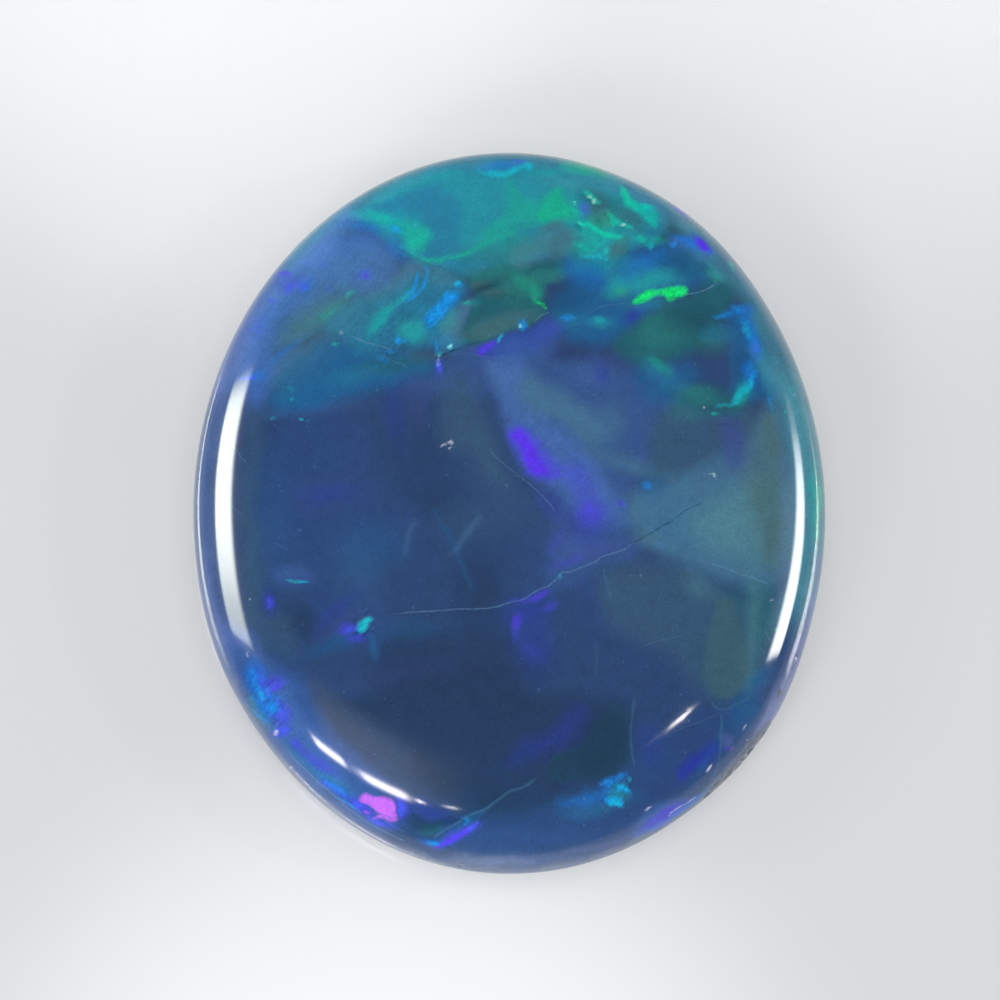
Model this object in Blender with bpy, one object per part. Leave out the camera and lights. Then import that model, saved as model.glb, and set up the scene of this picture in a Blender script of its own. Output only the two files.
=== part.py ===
"""A black opal cut as a low oval cabochon: one polished stone, lying on its flat back.

The frame is the stone's own: +Z up through the crown, +Y along the oval's length, +X across it,
with the origin at the middle of the flat back. Lengths are in metres.
"""

import math

import bmesh
import bpy
from mathutils import Vector
from mathutils.geometry import intersect_line_line_2d

MM = 0.001

# Driving dimensions of the cut stone
LENGTH = 11.94 * MM
WIDTH = 10.45 * MM
HEIGHT = 2.60 * MM

# Crown: the shallow polished dome, an elliptical arc that stops short of the rim
CROWN_ARC_DEPTH = 1.00 * MM
CROWN_SHARE = 0.945
# The dome sits a little back from the lower right, where more of the wall shows from above
CROWN_SHIFT = Vector((-0.05 * MM, 0.10 * MM))

# Shoulder and wall: the dome rolls over tightly into a rounded side that widens to the girdle
WALL_TOP_HEIGHT = 1.73 * MM
WALL_TOP_SHARE = 0.978
WALL_CORNER_HEIGHT = 1.45 * MM
GIRDLE_HEIGHT = 1.16 * MM

# Foot: the girdle is rounded under to the flat ground back
FOOT_CORNER_HEIGHT = 0.30 * MM
BACK_SHARE = 0.84

# The oval was ground by hand: small swellings, as (angle, half width, height)
SWELLINGS = (
    (math.radians(320), math.radians(24), 0.065 * MM),
    (math.radians(205), math.radians(22), 0.030 * MM),
    (math.radians(56), math.radians(20), 0.030 * MM),
)

# Facets of the solid
AROUND = 96
CROWN_RINGS = 15
SHOULDER_RINGS = 8
WALL_RINGS = 4
FOOT_RINGS = 6
BACK_RINGS = 3

OPAL_BLUE = (0.035, 0.085, 0.200, 1.0)


def girdle_reach(angle):
    """Distance from the stone's axis to its girdle: an ellipse with the hand-ground swellings."""
    half_width, half_length = WIDTH / 2, LENGTH / 2
    across = half_length * math.cos(angle)
    along = half_width * math.sin(angle)
    reach = half_width * half_length / math.hypot(across, along)
    for middle, spread, height in SWELLINGS:
        turn = math.remainder(angle - middle, math.tau)
        if abs(turn) < spread:
            reach += height * math.cos(turn / spread * math.pi / 2) ** 2
    return reach


def crown_height(share):
    """Height of the dome at this share of the way from its middle to the rim."""
    return HEIGHT - CROWN_ARC_DEPTH * (1 - math.sqrt(1 - share**2))


def crown_slope(share):
    """How fast the dome falls there, for each whole share of the reach."""
    return CROWN_ARC_DEPTH * share / math.sqrt(1 - share**2)


def arc(start, corner, end, rings):
    """Points of a curve from start to end that leaves and arrives along the lines to corner."""
    for step in range(1, rings + 1):
        part = step / rings
        yield start * (1 - part) ** 2 + corner * 2 * part * (1 - part) + end * part**2


def straight(start, end, rings):
    """Evenly spaced points of a straight line, without its start."""
    for step in range(1, rings + 1):
        yield start.lerp(end, step / rings)


def profile():
    """The stone's half section from the crown's middle to the back's, as (share of reach, height).

    Both ends are left out, because each is a single point on the axis.
    """
    crown = []
    for ring in range(1, CROWN_RINGS + 1):
        share = CROWN_SHARE * math.sin(ring / CROWN_RINGS * math.pi / 2)
        crown.append(Vector((share, crown_height(share))))
    brow = crown[-1]
    wall_top = Vector((WALL_TOP_SHARE, WALL_TOP_HEIGHT))
    wall_corner = Vector((1.0, WALL_CORNER_HEIGHT))
    # The shoulder's corner is where the dome's last slope meets the wall's line
    shoulder_corner = intersect_line_line_2d(
        brow,
        brow + Vector((1.0, -crown_slope(CROWN_SHARE))),
        wall_top,
        wall_top * 2 - wall_corner,
    )
    girdle = Vector((1.0, GIRDLE_HEIGHT))
    foot_corner = Vector((1.0, FOOT_CORNER_HEIGHT))
    foot_end = Vector((BACK_SHARE, 0.0))
    near_axis = Vector((BACK_SHARE / (BACK_RINGS + 1), 0.0))
    return [
        *crown,
        *arc(brow, shoulder_corner, wall_top, SHOULDER_RINGS),
        *arc(wall_top, wall_corner, girdle, WALL_RINGS),
        *arc(girdle, foot_corner, foot_end, FOOT_RINGS),
        *straight(foot_end, near_axis, BACK_RINGS),
    ]


def shift_at(height):
    """Sideways shift of the stone's section: none at the girdle, all of it at the shoulder."""
    rise = (height - GIRDLE_HEIGHT) / (crown_height(CROWN_SHARE) - GIRDLE_HEIGHT)
    return CROWN_SHIFT * min(max(rise, 0.0), 1.0)


def opal_material():
    """Polished dark blue opal."""
    material = bpy.data.materials.new("black_opal")
    material.use_nodes = True
    shader = material.node_tree.nodes["Principled BSDF"]
    shader.inputs["Base Color"].default_value = OPAL_BLUE
    shader.inputs["Roughness"].default_value = 0.05
    shader.inputs["Metallic"].default_value = 0.0
    shader.inputs["IOR"].default_value = 1.45
    return material


def make_stone():
    """Shapes a sphere's rings to the cabochon's section and outline."""
    rings = profile()
    half_turns = len(rings) + 1
    body = bmesh.new()
    bmesh.ops.create_uvsphere(body, u_segments=AROUND, v_segments=half_turns, radius=1.0)
    for vertex in body.verts:
        polar = math.acos(max(-1.0, min(1.0, vertex.co.z)))
        ring = round(polar / math.pi * half_turns)
        if ring == 0:
            share, height = 0.0, HEIGHT
        elif ring == half_turns:
            share, height = 0.0, 0.0
        else:
            share, height = rings[ring - 1]
        angle = math.atan2(vertex.co.y, vertex.co.x)
        reach = share * girdle_reach(angle)
        shift = shift_at(height)
        vertex.co = Vector((
            reach * math.cos(angle) + shift.x,
            reach * math.sin(angle) + shift.y,
            height,
        ))
    mesh = bpy.data.meshes.new("black_opal")
    body.to_mesh(mesh)
    body.free()
    mesh.shade_smooth()
    mesh.materials.append(opal_material())
    return bpy.data.objects.new("black_opal", mesh)


def clear_scene():
    for item in list(bpy.data.objects):
        bpy.data.objects.remove(item, do_unlink=True)


def main():
    clear_scene()
    collection = bpy.data.collections.new("black_opal_cabochon")
    bpy.context.scene.collection.children.link(collection)
    collection.objects.link(make_stone())


main()
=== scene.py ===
"""The looks of a black opal cabochon: the polished stone with its play of colour, and a pale stage.

Run as a script it dresses the loaded frame. Lengths inside the file are in millimetres, and are turned
to metres where a mesh, a light or the camera is made.
"""

import math
from typing import NamedTuple

import bmesh
import bpy
import numpy as np
from mathutils import Matrix, Vector, noise


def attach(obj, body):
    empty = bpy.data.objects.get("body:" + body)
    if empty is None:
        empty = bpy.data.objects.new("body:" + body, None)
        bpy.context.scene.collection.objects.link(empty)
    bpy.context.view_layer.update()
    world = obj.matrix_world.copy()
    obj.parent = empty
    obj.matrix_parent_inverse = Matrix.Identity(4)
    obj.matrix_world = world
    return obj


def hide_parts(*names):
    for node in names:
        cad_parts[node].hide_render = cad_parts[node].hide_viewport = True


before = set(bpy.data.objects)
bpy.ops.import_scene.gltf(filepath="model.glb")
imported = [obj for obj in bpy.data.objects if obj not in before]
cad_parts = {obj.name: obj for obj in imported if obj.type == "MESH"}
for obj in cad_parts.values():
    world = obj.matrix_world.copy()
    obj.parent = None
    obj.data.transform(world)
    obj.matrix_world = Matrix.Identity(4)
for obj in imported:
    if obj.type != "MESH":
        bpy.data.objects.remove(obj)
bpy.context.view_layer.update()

bl_info = {
    "name": "Black Opal Cabochon",
    "version": (1, 0, 0),
    "blender": (4, 5, 0),
    "location": "3D View > Sidebar > Opal",
    "description": "Makes a polished black opal with its play of colour, on a pale glossy table",
    "category": "Add Mesh",
}

MM = 0.001

# The cut of the stone, the same as in the solid that it replaces
LENGTH = 11.94
WIDTH = 10.45
HEIGHT = 2.60
CROWN_ARC_DEPTH = 1.00
CROWN_SHARE = 0.945
CROWN_SHIFT = (-0.05, 0.10)
WALL_TOP_HEIGHT = 1.73
WALL_TOP_SHARE = 0.978
WALL_CORNER_HEIGHT = 1.45
GIRDLE_HEIGHT = 1.16
FOOT_CORNER_HEIGHT = 0.30
BACK_SHARE = 0.84
SWELLINGS = (
    (math.radians(320), math.radians(24), 0.065),
    (math.radians(205), math.radians(22), 0.030),
    (math.radians(56), math.radians(20), 0.030),
)

# Rings of the fine mesh: the crown and shoulder are one square grid bent to an oval
CROWN_RINGS = 114
SHOULDER_RINGS = 14
WALL_RINGS = 14
FOOT_RINGS = 13
BACK_RINGS = 32
BACK_GRID_SHARE = 0.80

# The photograph's view of the stone: its direction, and the middle of the outline as that view sees it
VIEW_AZIMUTH = math.radians(-12)
VIEW_ELEVATION = math.radians(84)
OUTLINE_MIDDLE = (0.025, 0.132)
FRAME_WIDTH = 16.575
FRAME_MIDDLE = (-0.157, 0.215)
CAMERA_DISTANCE = 400.0
SENSOR_WIDTH = 36.0
NEAREST_SEEN = 1.0
FURTHEST_SEEN = 10000.0

BACK_OF_VIEW = Vector((
    math.cos(VIEW_ELEVATION) * math.sin(VIEW_AZIMUTH),
    -math.cos(VIEW_ELEVATION) * math.cos(VIEW_AZIMUTH),
    math.sin(VIEW_ELEVATION),
))
RIGHT_OF_VIEW = Vector((0, 1, 0)).cross(BACK_OF_VIEW).normalized()
UP_OF_VIEW = BACK_OF_VIEW.cross(RIGHT_OF_VIEW)


def display_colour(red, green, blue):
    """A colour as a screen shows it, from 0 to 255, in the linear values that shaders use."""
    shares = (value / 255 for value in (red, green, blue))
    return tuple(s / 12.92 if s <= 0.04045 else ((s + 0.055) / 1.055) ** 2.4 for s in shares)


# The polish reflects some of the pale room everywhere, so the opal under it is that much darker
POLISH_GLARE = 0.010
LIGHT_ON_STONE = 0.82
BLACKEST = 0.002


def opal_colour(red, green, blue):
    """The opal's own colour where the lit and polished stone shows this one."""
    shown = display_colour(red, green, blue)
    return tuple(min(max(value - POLISH_GLARE, BLACKEST) / LIGHT_ON_STONE, 1.0) for value in shown)


# Marks of the play of colour. They are placed in the photograph's view of the stone, in
# millimetres right of and above the middle of its outline. Each has a soft edge so wide, and covers
# what is under it by its strength, from 0 to 1.
class Mark(NamedTuple):
    """A mark: a dot, a streak along a line, a patch in an outline or a band along the rim."""

    kind: str
    points: tuple
    reach: tuple
    turn: float
    edge: float
    strength: float


def dots(*rows):
    """Oval dots, as (right, up, half width, half height, turn in degrees, edge, strength)."""
    return [
        Mark("dot", ((right, up),), (wide, tall), math.radians(turn), edge, strength)
        for right, up, wide, tall, turn, edge, strength in rows
    ]


def streak(wide, edge, strength, *points):
    return Mark("streak", points, (wide / 2, wide / 2), 0.0, edge, strength)


def patch(edge, strength, *points):
    return Mark("patch", points, (0.0, 0.0), 0.0, edge, strength)


def rim(start, end, deep, edge, strength):
    """A band along the stone's outline, between two angles in degrees."""
    middle = math.radians(start + (end - start) % 360 / 2)
    half = math.radians((end - start) % 360) / 2
    return Mark("rim", ((middle, half),), (deep, deep), 0.0, edge, strength)


def hair(strength, *points):
    """A hair line: its points, and how strongly it shows."""
    return points, strength


# A streak is thinner at its ends by this share
STREAK_TAPER = 0.7
# The ends of a rim band fade over a longer way than its inner edge
RIM_END_STEEPNESS = 0.4
# No rim band comes further in than this share of the outline's width and length
RIM_BAND_START = 0.35
# A flash's cover falls so far below 0 outside it, where the grain can still bring it up
FLASH_FLOOR = -0.5
# Hair lines fade out over this share of their length at both ends, and sideways out of this reach
LINE_END = 0.06
LINE_REACH = 0.16
LINE_FADE = 0.06
FAR_FROM_LINES = 1.0
TINY = 1e-9


def cut_corners(points, closed, rounds=2):
    """Rounds an outline or a line by cutting each corner at its quarters."""
    points = np.array(points, dtype=float)
    for _ in range(rounds):
        ahead = np.roll(points, -1, axis=0)
        if not closed:
            first, last = points[:1], points[-1:]
            points, ahead = points[:-1], ahead[:-1]
        quarters = np.stack((points * 0.75 + ahead * 0.25, points * 0.25 + ahead * 0.75), axis=1)
        points = quarters.reshape(-1, 2)
        if not closed:
            points = np.concatenate((first, points[1:-1], last))
    return points


def along_line(points, u, v):
    """Distance to a line of points, which side of it each place is on, and how far along it."""
    nearest = np.full(u.shape, np.inf)
    side = np.ones(u.shape)
    part = np.zeros(u.shape)
    lengths = np.hypot(*np.diff(points, axis=0).T)
    run = np.concatenate(([0.0], np.cumsum(lengths)))
    for index, (start, end) in enumerate(zip(points[:-1], points[1:])):
        step = end - start
        du, dv = u - start[0], v - start[1]
        share = np.clip((du * step[0] + dv * step[1]) / max(step @ step, TINY), 0, 1)
        distance = np.hypot(du - share * step[0], dv - share * step[1])
        closer = distance < nearest
        nearest = np.where(closer, distance, nearest)
        side = np.where(closer, np.where(step[0] * dv - step[1] * du >= 0, 1.0, -1.0), side)
        part = np.where(closer, (run[index] + share * lengths[index]) / run[-1], part)
    return nearest, side, part


def inside_outline(points, u, v):
    """Whether each place is inside a closed outline."""
    inside = np.zeros(u.shape, dtype=bool)
    for start, end in zip(points, np.roll(points, -1, axis=0)):
        if start[1] == end[1]:
            continue
        crosses = (start[1] > v) != (end[1] > v)
        where = start[0] + (v - start[1]) * (end[0] - start[0]) / (end[1] - start[1])
        inside ^= crosses & (u < where)
    return inside


def distance_out(mark, u, v):
    """How far outside a mark's rim each place is, in millimetres, and negative inside it."""
    if mark.kind == "dot":
        du, dv = u - mark.points[0][0], v - mark.points[0][1]
        cosine, sine = math.cos(mark.turn), math.sin(mark.turn)
        across = (du * cosine + dv * sine) / mark.reach[0]
        upward = (dv * cosine - du * sine) / mark.reach[1]
        return (np.hypot(across, upward) - 1) * min(mark.reach)
    if mark.kind == "rim":
        middle, half = mark.points[0]
        angle = np.arctan2(v, u)
        depth = (1 - np.hypot(u / (WIDTH / 2), v / (LENGTH / 2))) * WIDTH / 2
        turn = np.abs(np.remainder(angle - middle + math.pi, math.tau) - math.pi)
        return np.maximum(depth - mark.reach[0], (turn - half) * WIDTH / 2 * RIM_END_STEEPNESS)
    if mark.kind == "streak":
        distance, _, part = along_line(cut_corners(mark.points, closed=False), u, v)
        return distance - mark.reach[0] * (1 - STREAK_TAPER * np.abs(2 * part - 1) ** 3)
    outline = cut_corners(mark.points, closed=True)
    distance, _, _ = along_line(np.concatenate((outline, outline[:1])), u, v)
    return np.where(inside_outline(outline, u, v), -distance, distance)


def smooth(value):
    value = np.clip(value, 0, 1)
    return value * value * (3 - 2 * value)


def near(mark, u, v):
    """The places that a mark can reach."""
    if mark.kind == "rim":
        return np.hypot(u / WIDTH, v / LENGTH) > RIM_BAND_START
    points = np.array(mark.points)
    margin = max(mark.reach) + mark.edge
    low, high = points.min(axis=0) - margin, points.max(axis=0) + margin
    return (u > low[0]) & (u < high[0]) & (v > low[1]) & (v < high[1])


def veil_cover(marks, u, v):
    """How far soft-edged marks cover each place, from 0 to 1."""
    bare = np.ones(u.shape)
    for mark in marks:
        here = near(mark, u, v)
        ramp = 0.5 - distance_out(mark, u[here], v[here]) / mark.edge
        bare[here] *= 1 - mark.strength * smooth(ramp)
    return 1 - bare


def flash_cover(marks, u, v):
    """How far crisp marks cover each place, going below 0 outside them for a ragged rim."""
    cover = np.full(u.shape, FLASH_FLOOR)
    for mark in marks:
        here = near(mark, u, v)
        ramp = 0.5 - distance_out(mark, u[here], v[here]) / mark.edge
        cover[here] = np.maximum(cover[here], mark.strength * np.clip(ramp, FLASH_FLOOR, 1))
    return cover


def line_cover(lines, u, v):
    """Signed distance to the nearest of some hair lines, and how strongly the line shows there."""
    offset = np.full(u.shape, FAR_FROM_LINES)
    strength = np.zeros(u.shape)
    for points, shown in lines:
        distance, side, part = along_line(cut_corners(points, closed=False), u, v)
        closer = distance < np.abs(offset)
        offset = np.where(closer, distance * side, offset)
        ends = smooth(part / LINE_END) * smooth((1 - part) / LINE_END)
        fade = smooth((LINE_REACH - distance) / LINE_FADE)
        strength = np.where(closer, shown * ends * fade, strength)
    return offset, strength


class Layer(NamedTuple):
    """One colour of the stone: its name, whether it is a soft veil or a crisp flash, and its marks."""

    name: str
    kind: str
    marks: tuple


def veil(name, *marks):
    return Layer(name, "veil", marks)


def flash(name, *marks):
    return Layer(name, "flash", marks)


# From the lowest layer to the uppermost
LAYERS = (
    veil("night",
        patch(0.5, 1, (-2.7, -3.1), (-2, -2.9), (-1.6, -2.4), (-0.7, -2.2), (0, -2.6), (0.3, -3),
              (1.1, -3), (1.9, -3.1), (2, -3.6), (1.7, -4.3), (1, -4.6), (0.8, -4.95), (-0.8, -4.85),
              (-1.5, -4.3), (-1.7, -3.6), (-2.4, -3.3)),
        patch(0.8, 0.75, (-2.3, -2), (-1.3, -1.75), (-0.2, -1.7), (0.6, -2.3), (0.3, -3.2), (-1.3, -3.2),
              (-2.4, -2.9)),
        *dots((-0.5, -1.2, 0.4, 0.5, 0, 0.5, 0.7), (-3.3, -1.8, 0.5, 0.25, 0, 0.4, 0.9),
              (-3.75, 1.15, 0.5, 0.35, 10, 0.5, 0.9), (-1.6, 1.2, 0.6, 0.5, 0, 0.6, 0.4),
              (-1.3, 0.3, 0.5, 0.4, 0, 0.6, 0.5))),
    veil("navy",
        patch(0.45, 0.85, (-4.2, 1.6), (-2.4, 1.75), (-2.2, 0.9), (-2, 0), (-2.2, -1), (-1.8, -1.7),
              (-2.3, -2.4), (-3.1, -2.1), (-3.5, -0.9), (-4.1, -0.2)),
        patch(0.5, 0.6, (-3.9, 0.3), (-3.6, 0.75), (-3, 0.95), (-2.6, 1.2), (-2.2, 1), (-2.5, 0.4),
              (-3, 0.1), (-3.6, -0.1)),
        patch(0.35, 0.95, (2, -4), (2.5, -3.5), (3.2, -3.15), (4, -3.1), (3.9, -3.6), (3.3, -4.3),
              (2.7, -4.8), (1.9, -4.75)),
        patch(0.3, 0.8, (-1.3, -5), (-0.6, -5), (0.6, -4.9), (1.6, -4.75), (2.6, -4.6), (2.3, -5.1),
              (1.2, -5.45), (0, -5.55), (-1, -5.45)),
        *dots((-1.8, -0.3, 0.4, 0.5, 0, 0.4, 0.8), (0.45, -1.3, 0.4, 1, -10, 0.5, 0.7),
              (1.4, -1.4, 0.4, 0.5, 0, 0.5, 0.8), (-3.7, -3, 0.5, 0.9, 20, 0.5, 0.8))),
    veil("denim",
        patch(0.4, 0.85, (-1.9, 2.1), (-1.3, 2.2), (-0.9, 2.7), (-0.4, 2.9), (0.5, 2.85), (0.9, 2.4),
              (1.4, 2.5), (2.1, 2.3), (2.5, 1.8), (2.4, 0.9), (2.1, 0.5), (1.9, -0.3), (2.2, -0.7),
              (1.5, -0.9), (1, -1.2), (0.5, -1.2), (0.7, -0.3), (1, 0.2), (0.4, 0.7), (-0.2, 2),
              (-1, 1.9)),
        *dots((2.6, 1.6, 0.5, 0.4, 0, 0.4, 0.6), (-3.6, -1.05, 0.35, 0.2, 0, 0.3, 0.6),
              (-3.95, -0.45, 0.3, 0.5, 0, 0.3, 0.3), (0.6, -5.3, 1.6, 0.12, 2, 0.2, 0.12),
              (-3.3, 1.75, 0.9, 0.12, 5, 0.25, 0.6))),
    veil("steel",
        patch(0.5, 0.85, (-1.1, 2), (-0.8, 2.4), (-0.5, 1.8), (-0.3, 1.2), (0, 0.4), (-0.4, 0.6),
              (-0.7, 1), (-1.15, 1.1)),
        patch(0.5, 0.9, (1.5, -0.9), (2.3, -0.8), (3, -0.9), (3.4, -1.2), (4.3, -1.4), (4.3, -2.4),
              (4, -3), (3.4, -3.1), (3, -2.8), (2.7, -2.3), (2, -2.1), (1.5, -1.7)),
        patch(0.4, 0.9, (2.3, 1.6), (2.7, 1.8), (3.3, 1.7), (4, 1.8), (4.1, 1.2), (3.6, 0.8), (2.9, 0.5),
              (2.3, 0.7)),
        *dots((-4.2, -1, 0.15, 1.3, 5, 0.3, 0.8), (-3.8, -2, 0.25, 0.4, 20, 0.3, 0.6),
              (-0.7, 3.1, 0.35, 0.3, 20, 0.3, 0.8), (-4.2, 1, 0.12, 1, -5, 0.3, 0.7),
              (-0.6, -0.1, 0.5, 0.3, 0, 0.5, 0.3))),
    veil("haze",
        patch(0.45, 0.9, (1.9, 0.3), (2.8, 0.6), (3.4, 0.9), (3.8, 1.1), (4.1, 1.5), (4.5, 1.7),
              (4.7, 0), (4.5, -1.3), (3.9, -1.2), (3.2, -1), (2.3, -0.6), (1.9, -0.1)),
        patch(0.45, 0.85, (-0.4, 2.4), (-0.1, 2.5), (0.7, 2.1), (1.4, 1.7), (1.7, 1.2), (1.3, 1),
              (0.8, 1.5), (0.2, 1.6)),
        streak(0.4, 0.3, 0.8, (-3.8, 2.85), (-3.4, 3.2), (-2.8, 3.55)),
        streak(0.3, 0.2, 0.8, (-2.3, 3.55), (-1.9, 3.75), (-1.65, 4.05)),
        streak(0.35, 0.25, 0.8, (-1.05, 2.75), (-0.9, 3.2), (-0.65, 3.45)),
        streak(0.2, 0.2, 0.7, (3.3, 4), (3.6, 3.8), (3.8, 3.5)),
        streak(0.08, 0.14, 0.4, (-1.72, -0.65), (-1.66, -0.35), (-1.54, -0.12)),
        streak(0.1, 0.16, 0.45, (-0.98, -0.68), (-0.75, -0.4), (-0.48, -0.08)),
        *dots((-1.55, 4.05, 0.25, 0.15, 30, 0.2, 0.7), (1.7, 1.5, 0.2, 0.3, 0, 0.4, 0.5),
              (-2.5, -1, 0.3, 0.5, 20, 0.6, 0.15), (-2.65, 4.75, 0.25, 0.1, 10, 0.2, 0.7),
              (0, 0.2, 0.6, 0.3, -40, 0.6, 0.12))),
    veil("slate",
        patch(0.4, 0.8, (-0.5, 2.6), (0.2, 2.6), (0.3, 2.3), (0.1, 2), (0.3, 1.7), (0.9, 1.4),
              (1.4, 0.9), (1.8, 0.3), (1.95, -0.1), (1.5, -0.3), (1, 0.1), (0.7, 0.4), (0.3, 0.7),
              (0, 1.2), (-0.1, 1.8), (-0.3, 2.3)),
        *dots((1.2, -0.55, 0.35, 0.2, 15, 0.3, 0.4), (1.3, 2.3, 0.4, 0.2, -20, 0.4, 0.3),
              (-3.6, -1, 0.25, 0.12, 0, 0.25, 0.3))),
    veil("plum",
        *dots((3.7, 1.1, 0.2, 0.5, 10, 0.25, 0.7), (1.35, -0.65, 0.45, 0.18, 20, 0.3, 0.4),
              (0.9, -0.4, 0.4, 0.3, 0, 0.4, 0.25), (-1.55, 1.9, 0.2, 0.5, 5, 0.3, 0.3),
              (-3.3, 0.25, 0.6, 0.25, 10, 0.5, 0.2), (-2.75, -1.85, 0.4, 0.15, 20, 0.3, 0.35),
              (-1.8, -2.65, 0.8, 0.12, 10, 0.4, 0.2), (2.6, 2.35, 0.25, 0.2, 0, 0.2, 0.3),
              (3.4, 2.3, 0.3, 0.25, 0, 0.3, 0.08), (0.7, 2.75, 0.5, 0.15, -10, 0.3, 0.35),
              (1.5, 2.55, 0.5, 0.15, -10, 0.3, 0.2))),
    veil("indigo",
        patch(0.16, 0.55, (-0.7, 2.66), (-0.4, 2.8), (0, 2.93), (0.35, 3.08), (0.62, 3.22), (0.95, 3.15),
              (0.9, 2.95), (0.4, 2.72), (-0.2, 2.55)),
        patch(0.4, 0.36, (-0.1, -4.2), (0.2, -3.75), (0.7, -3.55), (1.1, -3.15), (1.35, -3.2),
              (1.2, -3.6), (0.6, -4)),
        patch(0.22, 0.95, (2.7, -4.3), (3.05, -3.95), (3.4, -3.72), (3.47, -3.95), (3.1, -4.2),
              (2.8, -4.45)),
        *dots((2.1, 3.3, 0.4, 0.13, 25, 0.18, 0.85), (1.5, 2.3, 0.12, 0.15, 0, 0.2, 0.4),
              (2.45, 2.3, 0.1, 0.15, 0, 0.2, 0.3), (0.4, -2.1, 0.3, 0.5, 10, 0.5, 0.35),
              (0.3, -1.6, 0.4, 0.2, 15, 0.4, 0.35), (2.3, -3.8, 0.25, 0.35, 20, 0.4, 0.25),
              (1.3, -0.2, 0.35, 0.3, 0, 0.4, 0.4), (-1.3, -4.95, 0.4, 0.12, -20, 0.25, 0.5),
              (-2.55, -2, 0.2, 0.15, 0, 0.2, 0.5), (-2.8, -1.6, 0.4, 0.1, 40, 0.25, 0.3),
              (-3.95, -1.5, 0.1, 0.2, 0, 0.2, 0.5), (-4.5, -2.1, 0.15, 0.15, 0, 0.2, 0.5),
              (-2.95, 0.3, 0.4, 0.15, 5, 0.3, 0.3), (-1.9, 1.7, 0.15, 0.5, 10, 0.3, 0.25))),
    veil("cobalt",
        patch(0.3, 0.4, (-0.3, 2.78), (0.3, 3), (0.62, 3.2), (0.9, 3.1), (0.8, 2.8), (0.3, 2.5),
              (-0.2, 2.55)),
        patch(0.35, 0.9, (-2.6, 4.7), (-2.1, 4.55), (-1.85, 4.25), (-1.9, 3.95), (-2.3, 3.6),
              (-2.8, 3.7), (-3.3, 3.4), (-3.8, 3.1), (-3.9, 2.2), (-4.2, 1.7), (-4.5, 2.2), (-4.4, 2.9),
              (-3.9, 3.6), (-3.3, 4.3)),
        patch(0.4, 0.55, (-4.3, -1.9), (-4, -2.5), (-3.4, -2.7), (-3.2, -3.3), (-2.6, -4), (-1.9, -4.6),
              (-1.7, -5.1), (-2.4, -5.3), (-3.4, -4.7), (-4.3, -3.6), (-4.9, -2.4), (-4.9, -1.7)),
        *dots((2.95, 4.4, 0.4, 0.12, -25, 0.15, 0.9), (2.5, -5, 0.5, 0.14, 30, 0.18, 0.7),
              (-3.8, 2.35, 0.4, 0.14, 45, 0.2, 0.6), (2.5, -0.55, 0.1, 0.08, 0, 0.12, 0.5))),
    veil("sky",
        patch(0.5, 0.8, (-5, 2), (-4.6, 3), (-4, 4), (-3.2, 4.9), (-2.5, 5.3), (-2.6, 4.9),
              (-2.85, 4.45), (-3, 4.15), (-3.5, 3.85), (-3.95, 3.3), (-4.2, 2.7), (-4.5, 2.1)),
        patch(0.3, 0.3, (-4.1, -2.7), (-3.7, -2.8), (-3.5, -3.2), (-3.1, -3.9), (-2.7, -4.3),
              (-2.9, -4.7), (-3.6, -4.1), (-4.2, -3.3)),
        *dots((-2.55, 4.92, 0.3, 0.07, -5, 0.12, 0.7), (3.2, -4.85, 0.4, 0.07, 38, 0.1, 0.5))),
    veil("ocean",
        patch(0.35, 0.9, (-4, 1.9), (-3.7, 2.4), (-3.2, 2.8), (-2.6, 2.9), (-2.2, 2.6), (-1.5, 2.7),
              (-1.15, 2.35), (-1.6, 2.25), (-2.1, 2.05), (-2.6, 1.95), (-3.2, 1.75), (-3.8, 1.7)),
        patch(0.3, 0.9, (0.9, 4.25), (1.2, 4.3), (1.9, 4.3), (2.6, 4.45), (3, 4.3), (3.3, 3.9),
              (2.9, 3.7), (1.9, 3.5), (1.9, 3.2), (2, 3), (1.5, 2.75), (1, 2.8), (0.9, 3.1), (0.6, 3.35),
              (0.9, 3.7), (1, 3.9)),
        patch(0.4, 0.7, (2, 2.3), (2.3, 2.55), (3, 2.5), (3.2, 2.2), (2.7, 1.85), (2.2, 1.8)),
        patch(0.3, 0.85, (3.5, 3.4), (4, 3.3), (4.3, 2.5), (4.3, 1.9), (3.6, 1.8), (3.7, 2.3),
              (3.6, 2.9)),
        streak(0.05, 0.1, 0.45, (-1.23, 0.09), (-0.95, -0.5), (-0.64, -1.26)),
        *dots((-3.3, 2.5, 0.7, 0.12, 45, 0.25, 0.4), (-3.9, 0, 0.3, 0.9, 0, 0.6, 0.15),
              (1.3, -4.75, 0.6, 0.2, 8, 0.3, 0.4), (-2.9, -2.15, 0.35, 0.1, 25, 0.25, 0.5),
              (-1.7, -1.9, 0.6, 0.14, 0, 0.3, 0.25), (-2.25, -2.2, 0.06, 0.18, 10, 0.12, 0.7),
              (-2.3, -0.6, 0.5, 0.4, 30, 0.6, 0.25), (2.4, 0.45, 0.25, 0.25, 0, 0.3, 0.35),
              (2.9, -0.2, 0.5, 0.3, 0, 0.5, 0.25), (4.1, -2.75, 0.25, 0.15, 40, 0.25, 0.7),
              (3.9, -3.25, 0.2, 0.35, -30, 0.3, 0.6), (-0.7, -5.08, 0.3, 0.06, 35, 0.1, 0.7),
              (3.2, -4.1, 0.5, 0.06, 60, 0.15, 0.3))),
    veil("moss",
        patch(0.08, 0.95, (-0.75, 3.85), (-0.3, 4.1), (0.3, 4.1), (0.7, 4.25), (0.95, 4.35),
              (0.95, 4.05), (0.5, 3.75), (0.65, 3.4), (0.6, 3.26), (0.3, 3.12), (0, 2.98), (-0.4, 2.85),
              (-0.85, 2.72), (-0.75, 3.1), (-0.5, 3.5)),
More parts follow.
